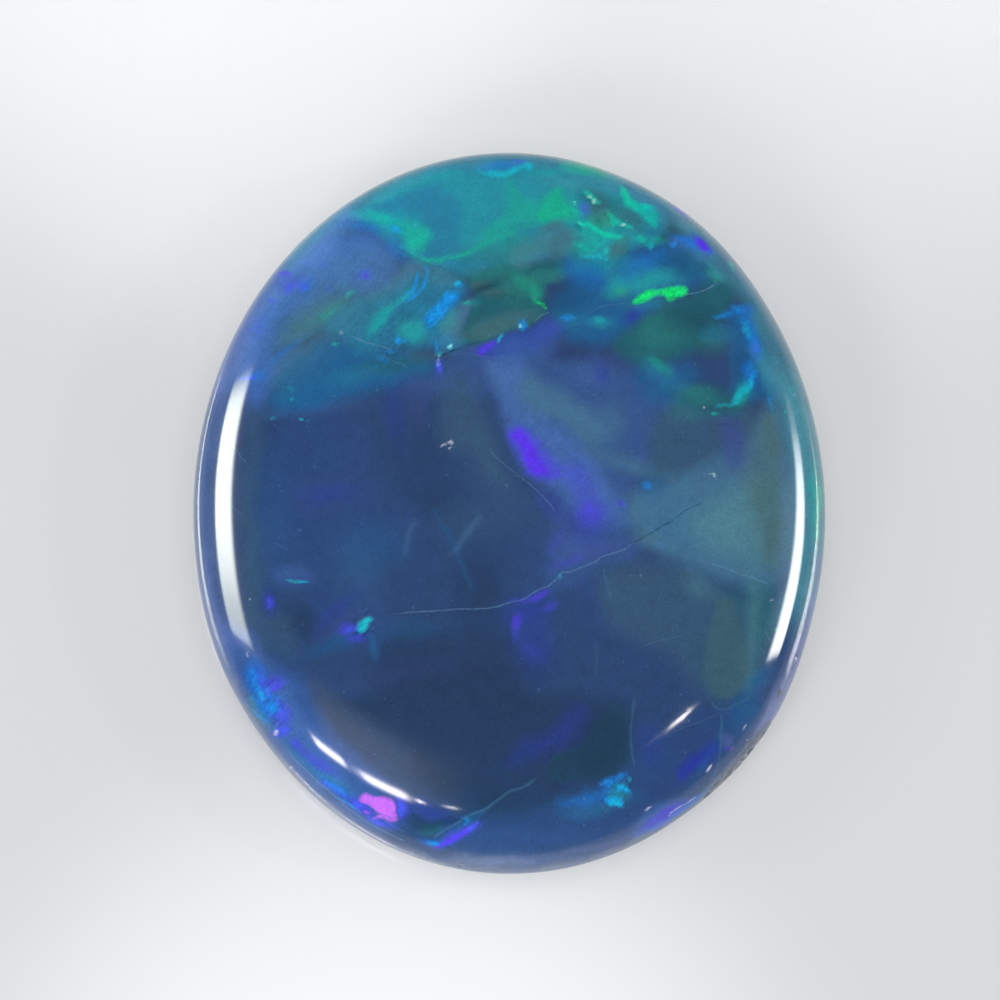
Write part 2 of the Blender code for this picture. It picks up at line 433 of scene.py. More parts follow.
        patch(0.3, 0.9, (1.6, 2.8), (2.1, 3.2), (2.9, 3.55), (3.4, 3.95), (3.7, 3.7), (3.6, 3.3),
              (3.4, 2.95), (3.6, 2.65), (3, 2.7), (2.6, 2.45), (2.1, 2.4)),
        patch(0.3, 0.75, (2.6, 1.85), (3.1, 2.1), (3.6, 2), (4, 1.9), (3.8, 1.6), (3.3, 1.65)),
        patch(0.08, 0.2, (1.75, -3.05), (1.5, -3.4), (1.2, -3.8), (0.8, -3.95), (0.5, -4.3),
              (1.1, -4.45), (1.8, -4.3), (2, -4.1), (1.95, -3.5)),
        patch(0.25, 0.3, (3.4, -1.4), (3.7, -1.15), (4.4, -1.1), (4.4, -1.7), (4.3, -2.2), (4, -2.8),
              (3.6, -3.15), (3.2, -2.95), (3.15, -2.4), (3.25, -1.8)),
        *dots((1.6, 5.15, 0.14, 0.3, 0, 0.15, 0.6), (1.85, 4.35, 0.14, 0.2, 0, 0.12, 0.8),
              (2.5, 4.65, 0.16, 0.22, 0, 0.14, 0.8), (3.6, 3.85, 0.2, 0.12, -40, 0.15, 0.4),
              (-3.5, 3.9, 0.2, 0.06, 35, 0.16, 0.3), (-3.45, 3.15, 0.5, 0.14, 40, 0.3, 0.35),
              (-1.9, 2.45, 0.6, 0.14, 5, 0.2, 0.6), (-2.6, 4.62, 0.22, 0.08, 0, 0.15, 0.2),
              (-1.3, -5.2, 0.2, 0.08, 10, 0.1, 0.6))),
    veil("lagoon",
        patch(0.2, 0.95, (-2.5, 5.15), (-1.3, 5.75), (0.5, 5.95), (1.7, 5.6), (2.7, 5.05), (2.4, 4.5),
              (1.9, 4.3), (1.5, 4.15), (0.95, 4.35), (0.3, 4.15), (-0.3, 4.1), (-0.7, 3.9), (-1.3, 4),
              (-1.7, 4.25), (-2.1, 4.6), (-2.5, 4.8)),
        patch(0.3, 0.75, (-0.65, 3.7), (-0.95, 3.3), (-1.2, 2.8), (-1.8, 2.7), (-2.4, 2.6), (-2.7, 2.9),
              (-3.1, 2.95), (-2.9, 3.4), (-2.3, 3.55), (-1.8, 3.85), (-1.3, 4), (-0.9, 3.9)),
        patch(0.2, 0.6, (1.5, 4.3), (1.5, 3.9), (1.9, 3.6), (2.8, 3.55), (3, 3.75), (2.6, 4),
              (2.2, 4.15)),
        *dots((1, 3.2, 0.25, 0.14, 0, 0.25, 0.4), (3.15, 4.1, 0.35, 0.18, -45, 0.3, 0.45),
              (4.15, 2.7, 0.12, 0.6, 12, 0.2, 0.6), (4.35, 2.1, 0.15, 0.4, 10, 0.25, 0.5),
              (3.4, 2.95, 0.25, 0.14, 0, 0.2, 0.5), (2.5, 2.3, 0.4, 0.15, -35, 0.25, 0.4),
              (-4.15, -3.25, 0.12, 0.3, 15, 0.15, 0.7), (-3.1, -4.25, 0.5, 0.07, -38, 0.15, 0.6),
              (1.5, -4.85, 0.5, 0.1, 15, 0.2, 0.2), (-2.75, 3.3, 0.35, 0.07, 38, 0.15, 0.5),
              (-2.6, 2.3, 0.4, 0.12, 10, 0.25, 0.4), (-1.3, 3.1, 0.2, 0.3, 30, 0.3, 0.5))),
    veil("pine",
        *dots((-0.35, 4, 0.5, 0.12, 12, 0.2, 0.5), (0.2, 3.7, 0.35, 0.3, -30, 0.3, 0.6),
              (0.15, 4.35, 0.45, 0.2, 15, 0.25, 0.4), (-0.2, 4.4, 0.6, 0.2, 10, 0.3, 0.5),
              (0.7, 3.95, 0.35, 0.12, 10, 0.15, 0.6), (2.5, 3, 0.4, 0.3, 0, 0.4, 0.5),
              (4.2, -1.7, 0.2, 0.5, 5, 0.3, 0.25), (3.1, 1.95, 0.3, 0.12, -10, 0.2, 0.5),
              (2.9, 1.7, 0.3, 0.2, 0, 0.3, 0.3), (-3, 3.3, 0.4, 0.1, 40, 0.2, 0.35),
              (1.2, 4.35, 0.2, 0.3, 0, 0.2, 0.5), (1.7, 4.9, 0.15, 0.2, 0, 0.15, 0.5))),
    veil("sea",
        patch(0.3, 0.42, (-2.45, 4.95), (-2, 5.35), (-1.4, 5.55), (-0.9, 5.3), (-0.75, 4.9), (-0.9, 4.5),
              (-0.6, 4.3), (0, 4.4), (0.5, 4.7), (1, 4.75), (1.3, 4.2), (1.8, 4.2), (2.2, 4.6),
              (2.5, 4.95), (1.8, 5.4), (1, 5.6), (0, 5.65), (-0.8, 5.6), (-1.5, 5.62), (-2.2, 5.4)),
        streak(0.12, 0.14, 0.4, (-2.2, 5.15), (-1.9, 5.3), (-1.3, 5.5), (-0.8, 5.6)),
        streak(0.26, 0.14, 0.9, (0.9, 5.75), (1.3, 5.72), (1.9, 5.5)),
        streak(0.22, 0.22, 0.6, (-2.6, 4.93), (-2.25, 4.9), (-1.95, 4.75)),
        streak(0.22, 0.22, 0.55, (-2.35, 3), (-2.1, 3.25), (-1.9, 3.4)),
        streak(0.1, 0.1, 0.6, (-1.9, 3.4), (-1.7, 3.6), (-1.6, 3.75)),
        *dots((-1.6, 3, 0.2, 0.16, 0, 0.2, 0.7), (-1, 3.15, 0.15, 0.2, 0, 0.2, 0.4),
              (2.25, 3.8, 0.5, 0.14, 12, 0.25, 0.6), (2.3, 3.45, 0.35, 0.1, 5, 0.2, 0.35),
              (1.75, 3.72, 0.2, 0.16, 30, 0.25, 0.5), (1.4, 4.55, 0.35, 0.16, -10, 0.2, 0.5),
              (1, 5.1, 0.2, 0.3, 0, 0.2, 0.3), (1.5, 3.15, 0.15, 0.08, 0, 0.15, 0.5),
              (-0.6, 3.45, 0.1, 0.05, 10, 0.1, 0.4), (3.4, 4, 0.2, 0.05, -50, 0.08, 0.5))),
    veil("mist",
        patch(0.6, 0.6, (2.9, -0.1), (3.4, 0.2), (4.05, 0.8), (4.5, 0.6), (4.6, -0.5), (4.2, -0.9),
              (3.6, -0.75), (3, -0.4)),
        streak(0.2, 0.3, 0.38, (3.98, -0.9), (4.03, -1.8), (3.95, -2.9)),
        patch(0.7, 0.3, (-4.1, 2.4), (-3.8, 3.3), (-3.1, 4.2), (-2.4, 4.5), (-1.8, 4.4), (-1.6, 4),
              (-2.3, 3.4), (-3.2, 2.5), (-3.8, 2)),
        *dots((4.3, 1.2, 0.15, 0.5, 5, 0.2, 0.45), (1.95, 0.8, 0.55, 0.12, -15, 0.3, 0.32),
              (2.35, -0.5, 0.3, 0.12, -20, 0.3, 0.25), (3.15, -1.2, 0.3, 0.15, -30, 0.3, 0.28),
              (0.75, 4.5, 0.3, 0.25, 0, 0.25, 0.35), (0.3, 4.3, 0.3, 0.2, 20, 0.2, 0.35),
              (-0.95, 3, 0.15, 0.3, 10, 0.2, 0.2), (-0.2, 3.1, 0.5, 0.16, 18, 0.2, 0.3),
              (-1.15, 3.9, 0.3, 0.14, -20, 0.2, 0.3))),
    veil("olive",
        patch(0.12, 0.42, (3.4, -1.5), (3.6, -1.3), (3.8, -1.8), (4, -2.4), (3.9, -2.9), (3.6, -3.1),
              (3.2, -2.9), (3.2, -2.4), (3.3, -1.9)),
        *dots((4.2, 0.5, 0.28, 1, 5, 0.45, 0.55), (4.3, -0.5, 0.15, 0.4, 0, 0.3, 0.55),
              (4.35, 1.3, 0.15, 0.4, 10, 0.2, 0.5), (-0.5, 3.78, 0.16, 0.08, 10, 0.1, 0.55),
              (-0.25, 3.62, 0.2, 0.06, 0, 0.1, 0.5), (0, 3.2, 0.5, 0.14, 10, 0.2, 0.3),
              (-0.45, 2.98, 0.35, 0.1, 15, 0.12, 0.4), (1.8, 4.36, 0.2, 0.13, 45, 0.14, 0.6),
              (1.5, 4.98, 0.16, 0.3, 10, 0.2, 0.55), (1.95, 4.9, 0.14, 0.3, 35, 0.16, 0.35),
              (0.85, 4.45, 0.25, 0.2, 40, 0.2, 0.4), (0.7, 4.75, 0.2, 0.08, 20, 0.12, 0.5),
              (3.4, 2.75, 0.3, 0.2, 0, 0.3, 0.15), (1.85, 3.65, 0.12, 0.1, 0, 0.1, 0.3),
              (-1.4, 2.6, 0.3, 0.1, 0, 0.15, 0.3))),
    veil("shade",
        patch(0.1, 0.35, (1.75, -3.05), (1.5, -3.4), (1.2, -3.8), (0.8, -3.95), (0.5, -4.3),
              (1.1, -4.45), (1.8, -4.3), (2, -4.1), (1.95, -3.5)),
        patch(0.4, 0.35, (-3.3, -2.9), (-2.7, -3), (-1.9, -3.4), (-1.2, -4.1), (-1, -4.6), (-1.7, -4.4),
              (-2.5, -3.8), (-3.1, -3.4)),
        *dots((-0.4, 3.72, 0.2, 0.06, 20, 0.08, 0.6), (0.25, 3.5, 0.3, 0.06, -10, 0.14, 0.3),
              (0.95, 3.55, 0.35, 0.25, 40, 0.4, 0.3), (1.05, 2.65, 0.25, 0.14, 0, 0.25, 0.35),
              (2.75, 4.68, 0.16, 0.1, -35, 0.1, 0.7), (2.95, 4.1, 0.3, 0.2, 0, 0.25, 0.25),
              (3.8, 3.6, 0.25, 0.1, -50, 0.14, 0.5), (3, 3.2, 0.4, 0.2, 0, 0.4, 0.35),
              (3.9, 2.35, 0.15, 0.3, 10, 0.2, 0.4), (1.5, 4.75, 0.05, 0.2, 10, 0.08, 0.4),
              (1.95, 4.85, 0.45, 0.16, -35, 0.3, 0.25), (1.15, 4.75, 0.06, 0.1, 0, 0.08, 0.5),
              (-1.1, -5.1, 0.4, 0.08, 10, 0.1, 0.6), (-1.6, -5.05, 0.3, 0.08, -20, 0.1, 0.5),
              (-0.35, -4.72, 0.3, 0.06, 25, 0.1, 0.5), (1.5, -3.9, 0.45, 0.5, -20, 0.35, 0.25),
              (-0.2, -4.95, 0.9, 0.25, 0, 0.4, 0.3), (-1, -4.5, 0.6, 0.25, -15, 0.4, 0.35),
              (1.38, 5.22, 0.3, 0.12, -20, 0.2, 0.3), (-1.72, 3.2, 0.14, 0.06, 40, 0.14, 0.25),
              (-1.68, 2.75, 0.14, 0.05, 20, 0.12, 0.25))),
    # The stone's pale blue at the edge, partly a painted sheen: the band by the left edge is lightened to
    # stand for the polish's reflection
    veil("rim_blue",
        rim(150, 205, 0.35, 0.5, 0.62),
        rim(205, 262, 0.12, 0.3, 0.35),
        rim(124, 160, 0.22, 0.3, 0.5),
        rim(262, 345, 0.3, 0.4, 0.25),
        rim(40, 75, 0.2, 0.25, 0.3),
        *dots((0.4, -5.72, 1.4, 0.1, 0, 0.16, 0.15))),
    veil("rim_teal",
        rim(340, 30, 0.5, 0.5, 0.8),
        rim(30, 62, 0.3, 0.35, 0.6),
        rim(56, 132, 0.16, 0.24, 0.6),
        *dots((4.85, 1.4, 0.2, 0.7, 15, 0.3, 0.5), (1.1, 5.45, 0.6, 0.12, -8, 0.2, 0.25))),
    veil("rim_grey",
        rim(212, 330, 0.08, 0.14, 0.6),
        rim(30, 60, 0.12, 0.2, 0.4),
        rim(304, 330, 0.09, 0.08, 0.8),
        streak(0.12, 0.12, 0.5, (2, -5.45), (2.9, -4.95), (3.35, -4.55)),
        *dots((-0.3, -5.75, 0.6, 0.08, 0, 0.12, 0.4))),
    veil("lavender",
        rim(318, 345, 0.12, 0.16, 0.55),
        rim(142, 158, 0.2, 0.25, 0.3),
        rim(342, 352, 0.14, 0.12, 0.4),
        rim(188, 205, 0.25, 0.2, 0.25),
        streak(0.1, 0.1, 0.15, (0.9, -5.6), (1.7, -5.45), (2.3, -5.2)),
        streak(0.09, 0.1, 0.6, (3.3, -4.55), (3.9, -3.93), (4.29, -3.46), (4.5, -3.1)),
        *dots((3.58, -3.75, 0.1, 0.1, -30, 0.15, 0.25), (-0.2, -5.75, 0.6, 0.05, 2, 0.1, 0.15))),
    veil("green_glow",
        patch(0.16, 0.75, (0.45, 4.8), (0.5, 5.1), (0.72, 5.36), (0.86, 5.38), (0.87, 5.22),
              (0.99, 5.03), (0.95, 4.92), (0.8, 4.85)),
        patch(0.26, 0.42, (-0.05, 5.45), (0.1, 5.42), (0.18, 5.2), (0.5, 5.1), (0.6, 4.85), (0.2, 4.76),
              (-0.1, 4.62), (-0.45, 4.48), (-0.5, 4.62), (-0.1, 4.85), (0, 5.05)),
        patch(0.24, 0.5, (-1.9, 4.78), (-1.78, 4.62), (-1.66, 4.38), (-1.5, 4.28), (-1.36, 4.4),
              (-1.32, 4.62), (-1.45, 4.72), (-1.65, 4.8)),
        streak(0.07, 0.1, 0.45, (-1.65, 4.32), (-1.45, 4.15), (-1.2, 4.13), (-0.97, 4.2), (-0.6, 4.33),
               (-0.3, 4.5), (0.1, 4.65)),
        *dots((1, 4.95, 0.15, 0.14, 0, 0.14, 0.5), (1.3, 5.68, 0.35, 0.1, -8, 0.14, 0.5),
              (0.3, 3.78, 0.25, 0.08, -35, 0.15, 0.3), (1.5, 4.77, 0.25, 0.15, 0, 0.25, 0.35),
              (0.45, 3.6, 0.08, 0.14, 0, 0.12, 0.3), (1.8, 3.65, 0.12, 0.06, 30, 0.12, 0.4),
              (-2.95, 3.32, 0.2, 0.04, 40, 0.12, 0.2), (2.5, 2.43, 0.18, 0.07, -35, 0.14, 0.4))),
    veil("aqua_glow",
        streak(0.16, 0.2, 0.35, (-2.3, 4.9), (-2.05, 4.86), (-1.9, 4.76), (-1.75, 4.62)),
        patch(0.1, 0.9, (1.85, 5.4), (1.95, 5.32), (2.08, 5.18), (2.32, 5.1), (2.42, 4.95), (2.42, 4.78),
              (2.34, 4.72), (2.2, 4.84), (2.05, 5), (1.9, 5.1)),
        *dots((1.55, 4.6, 0.4, 0.1, -20, 0.16, 0.45), (1.3, 4.4, 0.3, 0.1, 10, 0.16, 0.4),
              (1.5, 4.1, 0.3, 0.15, 0, 0.25, 0.3), (-1.8, 4.77, 0.35, 0.2, 0, 0.3, 0.3),
              (-1, 2.8, 0.2, 0.12, 0, 0.2, 0.2), (0.6, 5.65, 0.3, 0.06, 0, 0.12, 0.4),
              (-2.15, 3.15, 0.25, 0.08, 50, 0.12, 0.5), (3.85, 2, 0.1, 0.2, -20, 0.16, 0.6),
              # Painted highlight: the tall dot at the right edge, (5.05, 0.2), is a soft reflected lamp
              # line
              (1.78, -4.6, 0.16, 0.16, 0, 0.16, 0.3), (5.05, 0.2, 0.1, 0.7, 0, 0.12, 0.6),
              (2.3, 4.5, 0.25, 0.06, 0, 0.1, 0.5))),
    veil("azure_glow",
        streak(0.06, 0.1, 1, (3.32, -4.54), (3.12, -4.7), (2.9, -4.88), (2.6, -5.06)),
        *dots((-1.12, 3.35, 0.12, 0.35, -42, 0.16, 0.6), (-2.45, 4.74, 0.25, 0.07, -12, 0.15, 0.45),
              (-1.85, 4.36, 0.25, 0.12, -42, 0.2, 0.35), (1.2, 4, 0.35, 0.2, -25, 0.3, 0.3),
              (-1, 2.8, 0.2, 0.12, 0, 0.2, 0.2), (2.95, 4.47, 0.28, 0.07, -25, 0.1, 0.7),
              (-0.1, 5.75, 0.36, 0.07, 3, 0.14, 0.5), (2.2, 4.1, 0.4, 0.16, 35, 0.3, 0.3),
              (4, 2.95, 0.12, 0.35, 15, 0.2, 0.55), (3.75, 3.3, 0.25, 0.08, 10, 0.14, 0.5),
              (3.95, 2.3, 0.1, 0.2, 0, 0.14, 0.6), (-4.15, -2.75, 0.16, 0.3, 15, 0.2, 0.8),
              (-3.95, -3.15, 0.2, 0.2, 0, 0.2, 0.8), (1.3, -4.68, 0.4, 0.08, 8, 0.16, 0.4),
              (1.7, -4.45, 0.2, 0.08, 20, 0.14, 0.55), (0.18, 3.12, 0.08, 0.08, 0, 0.1, 0.5),
              (-2.85, -4.55, 0.3, 0.05, -38, 0.12, 0.5), (-4.2, 2.25, 0.2, 0.06, 10, 0.12, 0.5),
              (-3.7, 2.65, 0.3, 0.05, 45, 0.14, 0.4), (2.35, -5.2, 0.25, 0.05, 30, 0.08, 0.5),
              (-3.35, 3.75, 0.15, 0.08, 40, 0.12, 0.4), (-1.2, -5.42, 0.2, 0.05, -10, 0.1, 0.5),
              (2.3, 0.45, 0.08, 0.08, 0, 0.1, 0.4))),
    veil("violet_glow",
        patch(0.2, 0.65, (-0.05, 1.4), (0.3, 1.45), (0.5, 1.15), (0.75, 0.9), (0.85, 0.65), (0.6, 0.5),
              (0.3, 0.6), (0.15, 0.95), (-0.05, 1.15)),
        patch(0.4, 0.42, (0.7, 0.8), (1.1, 0.85), (1.35, 0.6), (1.45, 0.2), (1.6, 0), (1.4, -0.25),
              (1.15, -0.2), (1.1, 0.2), (0.95, 0.5)),
        *dots((1.3, 0, 0.2, 0.2, 0, 0.25, 0.3), (0.67, 0.13, 0.3, 0.15, -45, 0.25, 0.2),
              (1.85, 0.18, 0.08, 0.05, 0, 0.08, 0.5), (0.75, -0.5, 0.06, 0.14, -30, 0.16, 0.25),
              (0.95, -0.8, 0.25, 0.06, 15, 0.12, 0.35), (0.46, -1.36, 0.14, 0.05, 20, 0.12, 0.5),
              (0.25, -1.42, 0.2, 0.04, 10, 0.08, 0.4), (0.66, -1.55, 0.1, 0.05, 25, 0.12, 0.55),
              (0.14, -1.84, 0.06, 0.16, -8, 0.14, 0.6), (0.35, -2.25, 0.18, 0.08, -40, 0.2, 0.25),
              (-2.68, -1.9, 0.14, 0.06, 20, 0.1, 0.6), (-2.55, -2.05, 0.12, 0.06, 0, 0.1, 0.4),
              (-3.95, -1.48, 0.05, 0.1, 0, 0.08, 0.5), (-3.95, -2.8, 0.2, 0.12, 30, 0.16, 0.7),
              (-3.75, -3.3, 0.16, 0.2, 20, 0.2, 0.6), (-3.75, -3.6, 0.16, 0.08, 20, 0.14, 0.55),
              (-3.48, -3.82, 0.12, 0.06, -50, 0.14, 0.5), (-3.15, -4.1, 0.3, 0.07, -38, 0.16, 0.7),
              (-2.45, -4.85, 0.25, 0.1, -30, 0.12, 0.7), (-2.1, -5.1, 0.2, 0.06, -15, 0.1, 0.5),
              (-1.75, -4.85, 0.1, 0.2, 10, 0.12, 0.6), (-0.85, -5.32, 0.35, 0.08, 28, 0.12, 0.6),
              (2.55, -5, 0.4, 0.06, 32, 0.1, 0.9), (2.85, 4.98, 0.14, 0.04, -32, 0.08, 0.5),
              (3.15, 4.44, 0.2, 0.07, -38, 0.08, 0.6), (-0.4, 2.76, 0.22, 0.06, 22, 0.1, 0.6),
              (-1.15, 2.4, 0.06, 0.12, 0, 0.1, 0.6), (-3.6, 3.8, 0.25, 0.12, 0, 0.2, 0.4),
              (-2.4, 3.92, 0.14, 0.05, 15, 0.12, 0.35), (1.28, 5.02, 0.08, 0.12, 0, 0.1, 0.5),
              (0.65, 3.05, 0.25, 0.08, 20, 0.16, 0.1))),
    flash("azure",
        streak(0.05, 0.04, 0.7, (-1.36, 4.04), (-1.37, 3.88), (-1.43, 3.74), (-1.55, 3.62), (-1.7, 3.5),
               (-1.85, 3.4)),
        streak(0.06, 0.04, 0.65, (-1.53, 3.95), (-1.55, 3.8), (-1.62, 3.68), (-1.75, 3.57)),
        patch(0.1, 0.8, (-0.86, 3.6), (-1, 3.66), (-1.14, 3.58), (-1.18, 3.45), (-1.3, 3.34),
              (-1.42, 3.2), (-1.34, 3.06), (-1.2, 3.08), (-1.12, 3.24), (-1, 3.36), (-0.98, 3.46),
              (-0.88, 3.5)),
        streak(0.06, 0.1, 0.4, (3.62, 3.42), (3.78, 3.33), (3.85, 3.28)),
        streak(0.06, 0.14, 0.42, (3.82, 3.18), (3.88, 3.08), (3.97, 2.95), (4.05, 2.82), (4.1, 2.65)),
        streak(0.07, 0.12, 0.5, (4.02, 2.45), (4, 2.3), (3.96, 2.15)),
        streak(0.05, 0.06, 0.7, (-4.22, -2.55), (-4.15, -2.7), (-4.2, -2.8)),
        streak(0.08, 0.06, 0.9, (-4.15, -2.8), (-4.1, -2.95), (-4.04, -3.08)),
        streak(0.05, 0.05, 0.6, (-4.18, -3.3), (-4.08, -3.4), (-3.98, -3.43)),
        streak(0.06, 0.05, 0.6, (-3.05, -4.42), (-2.9, -4.53), (-2.72, -4.65)),
        streak(0.04, 0.04, 0.5, (-2.85, -4.68), (-2.6, -4.86), (-2.45, -4.94)),
        patch(0.07, 0.9, (1.5, -4.68), (1.6, -4.8), (1.85, -4.86), (1.88, -4.76), (1.8, -4.7),
              (1.66, -4.72)),
        streak(0.05, 0.04, 0.7, (-1.32, -5.38), (-1.15, -5.45)),
        streak(0.06, 0.06, 0.4, (-0.8, -4.98), (-0.65, -5.05), (-0.75, -5.15)),
        *dots((-1.88, 4.66, 0.09, 0.04, -35, 0.06, 0.75), (-1.37, 4.02, 0.035, 0.04, 0, 0.04, 0.6),
              (-0.86, 3.76, 0.06, 0.05, 0, 0.05, 0.8), (0.18, 3.12, 0.06, 0.09, 0, 0.06, 0.6),
              (0.95, 3.22, 0.12, 0.04, 5, 0.06, 0.6), (-1.8, 2.83, 0.06, 0.06, 30, 0.05, 0.9),
              (-1.7, 2.83, 0.04, 0.03, 0, 0.04, 0.6), (-1.97, 2.65, 0.06, 0.02, -15, 0.04, 0.9),
              (-2.12, 2.55, 0.07, 0.025, -15, 0.05, 0.7), (-1.18, 2.75, 0.03, 0.08, 0, 0.05, 0.6),
              (2.7, 4.45, 0.05, 0.05, 0, 0.05, 0.6), (3.5, 3.25, 0.14, 0.03, 10, 0.06, 0.45),
              (4.27, 1.8, 0.04, 0.1, 15, 0.08, 0.4), (-4.37, 2.22, 0.06, 0.025, 10, 0.05, 0.6),
              (-3.4, -1.12, 0.04, 0.02, 0, 0.04, 0.7), (-3.88, -3.22, 0.08, 0.07, 0, 0.06, 0.9),
              (-3.98, -2.9, 0.05, 0.08, 20, 0.06, 0.6), (1.9, -4.58, 0.09, 0.05, -20, 0.05, 0.8),
              (1.62, -4.42, 0.12, 0.06, 20, 0.08, 0.5), (1.85, -4.36, 0.08, 0.05, 0, 0.06, 0.4),
              (2.3, 0.45, 0.05, 0.05, 0, 0.06, 0.3))),
    flash("cyan",
        streak(0.08, 0.07, 0.75, (-0.55, 5.66), (-0.3, 5.63), (0, 5.6), (0.12, 5.68), (0.22, 5.74),
               (0.42, 5.74)),
        streak(0.06, 0.04, 0.9, (-1.2, 2.62), (-1.08, 2.66)),
        streak(0.06, 0.04, 0.9, (-1, 2.7), (-0.93, 2.76)),
        streak(0.06, 0.04, 0.7, (-0.2, 2.82), (-0.07, 2.95)),
        streak(0.05, 0.06, 0.7, (1.2, 4.27), (1.35, 4.24), (1.5, 4.27), (1.62, 4.16)),
        streak(0.1, 0.08, 0.7, (3.97, 2.2), (3.9, 2.08), (3.78, 1.98), (3.75, 1.85), (3.68, 1.78)),
        patch(0.06, 0.95, (-2.55, -1.9), (-2.44, -1.97), (-2.34, -1.85), (-2.2, -1.66), (-2.32, -1.67),
              (-2.43, -1.75)),
        streak(0.04, 0.04, 0.6, (-3.68, -1.1), (-3.52, -1.13), (-3.35, -1.12)),
        streak(0.04, 0.04, 0.3, (0.83, -0.98), (0.8, -1.06)),
        *dots((0.36, 5.74, 0.07, 0.05, 0, 0.06, 0.8), (-0.88, 3.77, 0.05, 0.03, 20, 0.04, 0.8),
              (-0.98, 3.6, 0.03, 0.02, 20, 0.03, 0.7), (-1.2, 3.24, 0.05, 0.015, 30, 0.03, 0.7),
              (-2, 3.3, 0.08, 0.02, 45, 0.04, 0.4), (-1.76, 3.52, 0.06, 0.02, 45, 0.04, 0.4),
              (2.35, 4.43, 0.05, 0.05, 0, 0.05, 0.7), (2.25, 5.08, 0.1, 0.04, -20, 0.06, 0.7),
              (1.6, 4.3, 0.07, 0.05, 0, 0.05, 0.5), (1.5, 3.2, 0.06, 0.04, 0, 0.06, 0.4),
              (3.55, 1.78, 0.14, 0.03, 0, 0.05, 0.4), (3.92, 3, 0.05, 0.08, 20, 0.08, 0.5),
              (-3.44, 1.56, 0.03, 0.025, 0, 0.03, 0.7), (-3.35, 1.52, 0.04, 0.02, -40, 0.03, 0.4),
              (-3.58, 1.92, 0.025, 0.03, 0, 0.03, 0.6), (-3.57, 2.07, 0.04, 0.03, 0, 0.04, 0.4),
              (-3.9, 1.6, 0.06, 0.03, 0, 0.05, 0.3), (1.75, -4.78, 0.12, 0.06, -15, 0.06, 0.6),
              (1.97, -4.41, 0.03, 0.03, 0, 0.03, 0.6), (1.9, -4.56, 0.06, 0.02, -30, 0.04, 0.7),
              (1.78, -4.5, 0.05, 0.02, -20, 0.04, 0.5), (-4.05, -3.02, 0.03, 0.08, 10, 0.04, 0.6),
              (-4.1, -2.98, 0.02, 0.03, 0, 0.03, 0.6), (0.14, 3.1, 0.03, 0.04, 0, 0.03, 0.8))),
    flash("aqua",
        patch(0.2, 0.35, (-1.72, 4.55), (-1.66, 4.38), (-1.5, 4.3), (-1.42, 4.4), (-1.36, 4.6),
              (-1.5, 4.62)),
        streak(0.1, 0.12, 0.35, (-2.3, 4.93), (-2.1, 4.9), (-1.95, 4.82)),
        streak(0.04, 0.06, 0.3, (-1.62, 4.3), (-1.45, 4.15), (-1.2, 4.13), (-0.97, 4.2), (-0.6, 4.33)),
        streak(0.12, 0.08, 0.9, (1.86, 5.4), (1.92, 5.25), (2.05, 5.1), (2.2, 5)),
        streak(0.08, 0.05, 0.6, (2.2, 5.1), (2.35, 5.06)),
        streak(0.08, 0.06, 0.5, (2.2, 4.9), (2.32, 4.8), (2.38, 4.76)),
        streak(0.08, 0.05, 1.3, (1.13, 4.84), (1.25, 4.74)),
        streak(0.08, 0.06, 1.1, (1.28, 4.82), (1.4, 4.71), (1.55, 4.63), (1.75, 4.53), (1.88, 4.52)),
        streak(0.06, 0.06, 0.8, (1.6, 5), (1.7, 4.88), (1.85, 4.78), (1.98, 4.68)),
        streak(0.05, 0.05, 0.6, (1.9, 4.72), (2, 4.66)),
        streak(0.05, 0.06, 1, (1.27, 5.32), (1.36, 5.25), (1.42, 5.16), (1.5, 5.14)),
        streak(0.06, 0.05, 0.7, (2.08, 4.53), (2.22, 4.48)),
        streak(0.05, 0.06, 0.5, (1.1, 4.45), (1.3, 4.35)),
        streak(0.04, 0.05, 0.4, (1.35, 4.5), (1.5, 4.4)),
        streak(0.05, 0.05, 0.45, (-2.7, 3.57), (-2.52, 3.68)),
        streak(0.04, 0.04, 0.3, (-2.75, 3.74), (-2.68, 3.77)),
        streak(0.05, 0.08, 0.15, (-3.1, 3.15), (-2.95, 3.3)),
        # Painted highlight: this green-blue line on the right edge stands for a reflected lamp
        streak(0.08, 0.08, 0.6, (5.08, 0.5), (5.09, 0), (5.08, -0.4)),
        *dots((1.72, 4.77, 0.05, 0.03, 0, 0.04, 0.7), (1.14, 5.13, 0.04, 0.03, 0, 0.03, 0.8),
              (2.45, 4.58, 0.05, 0.03, 20, 0.05, 0.4), (1.6, 4.33, 0.04, 0.03, 0, 0.04, 0.5),
              (1.1, 4.98, 0.12, 0.04, -20, 0.08, 0.4), (-0.7, 3.45, 0.07, 0.02, -10, 0.04, 0.7),
              (-2.87, 2.77, 0.05, 0.02, 10, 0.05, 0.5), (3.65, 4.08, 0.04, 0.07, 0, 0.05, 0.5),
              (4.54, 1.65, 0.03, 0.03, 0, 0.03, 0.8), (3.35, 1.65, 0.04, 0.03, 0, 0.03, 0.4),
              (3.45, 1.63, 0.03, 0.02, 0, 0.03, 0.4), (4.62, 2.05, 0.05, 0.02, 20, 0.04, 0.3),
              (4.38, -1.96, 0.02, 0.02, 0, 0.03, 0.6))),
    flash("green",
        streak(0.04, 0.05, 0.6, (0.42, 3.52), (0.5, 3.46), (0.57, 3.43), (0.62, 3.34)),
        patch(0.06, 1, (1.98, 3.46), (2.15, 3.58), (2.3, 3.66), (2.45, 3.63), (2.6, 3.66), (2.88, 3.73),
              (2.95, 3.68), (2.92, 3.6), (2.76, 3.55), (2.68, 3.47), (2.6, 3.5), (2.54, 3.57),
              (2.4, 3.54), (2.2, 3.47)),
        streak(0.06, 0.07, 0.2, (3.25, 4.05), (3.4, 3.85)),
        streak(0.05, 0.05, 0.3, (1.9, 5.35), (2, 5.15)),
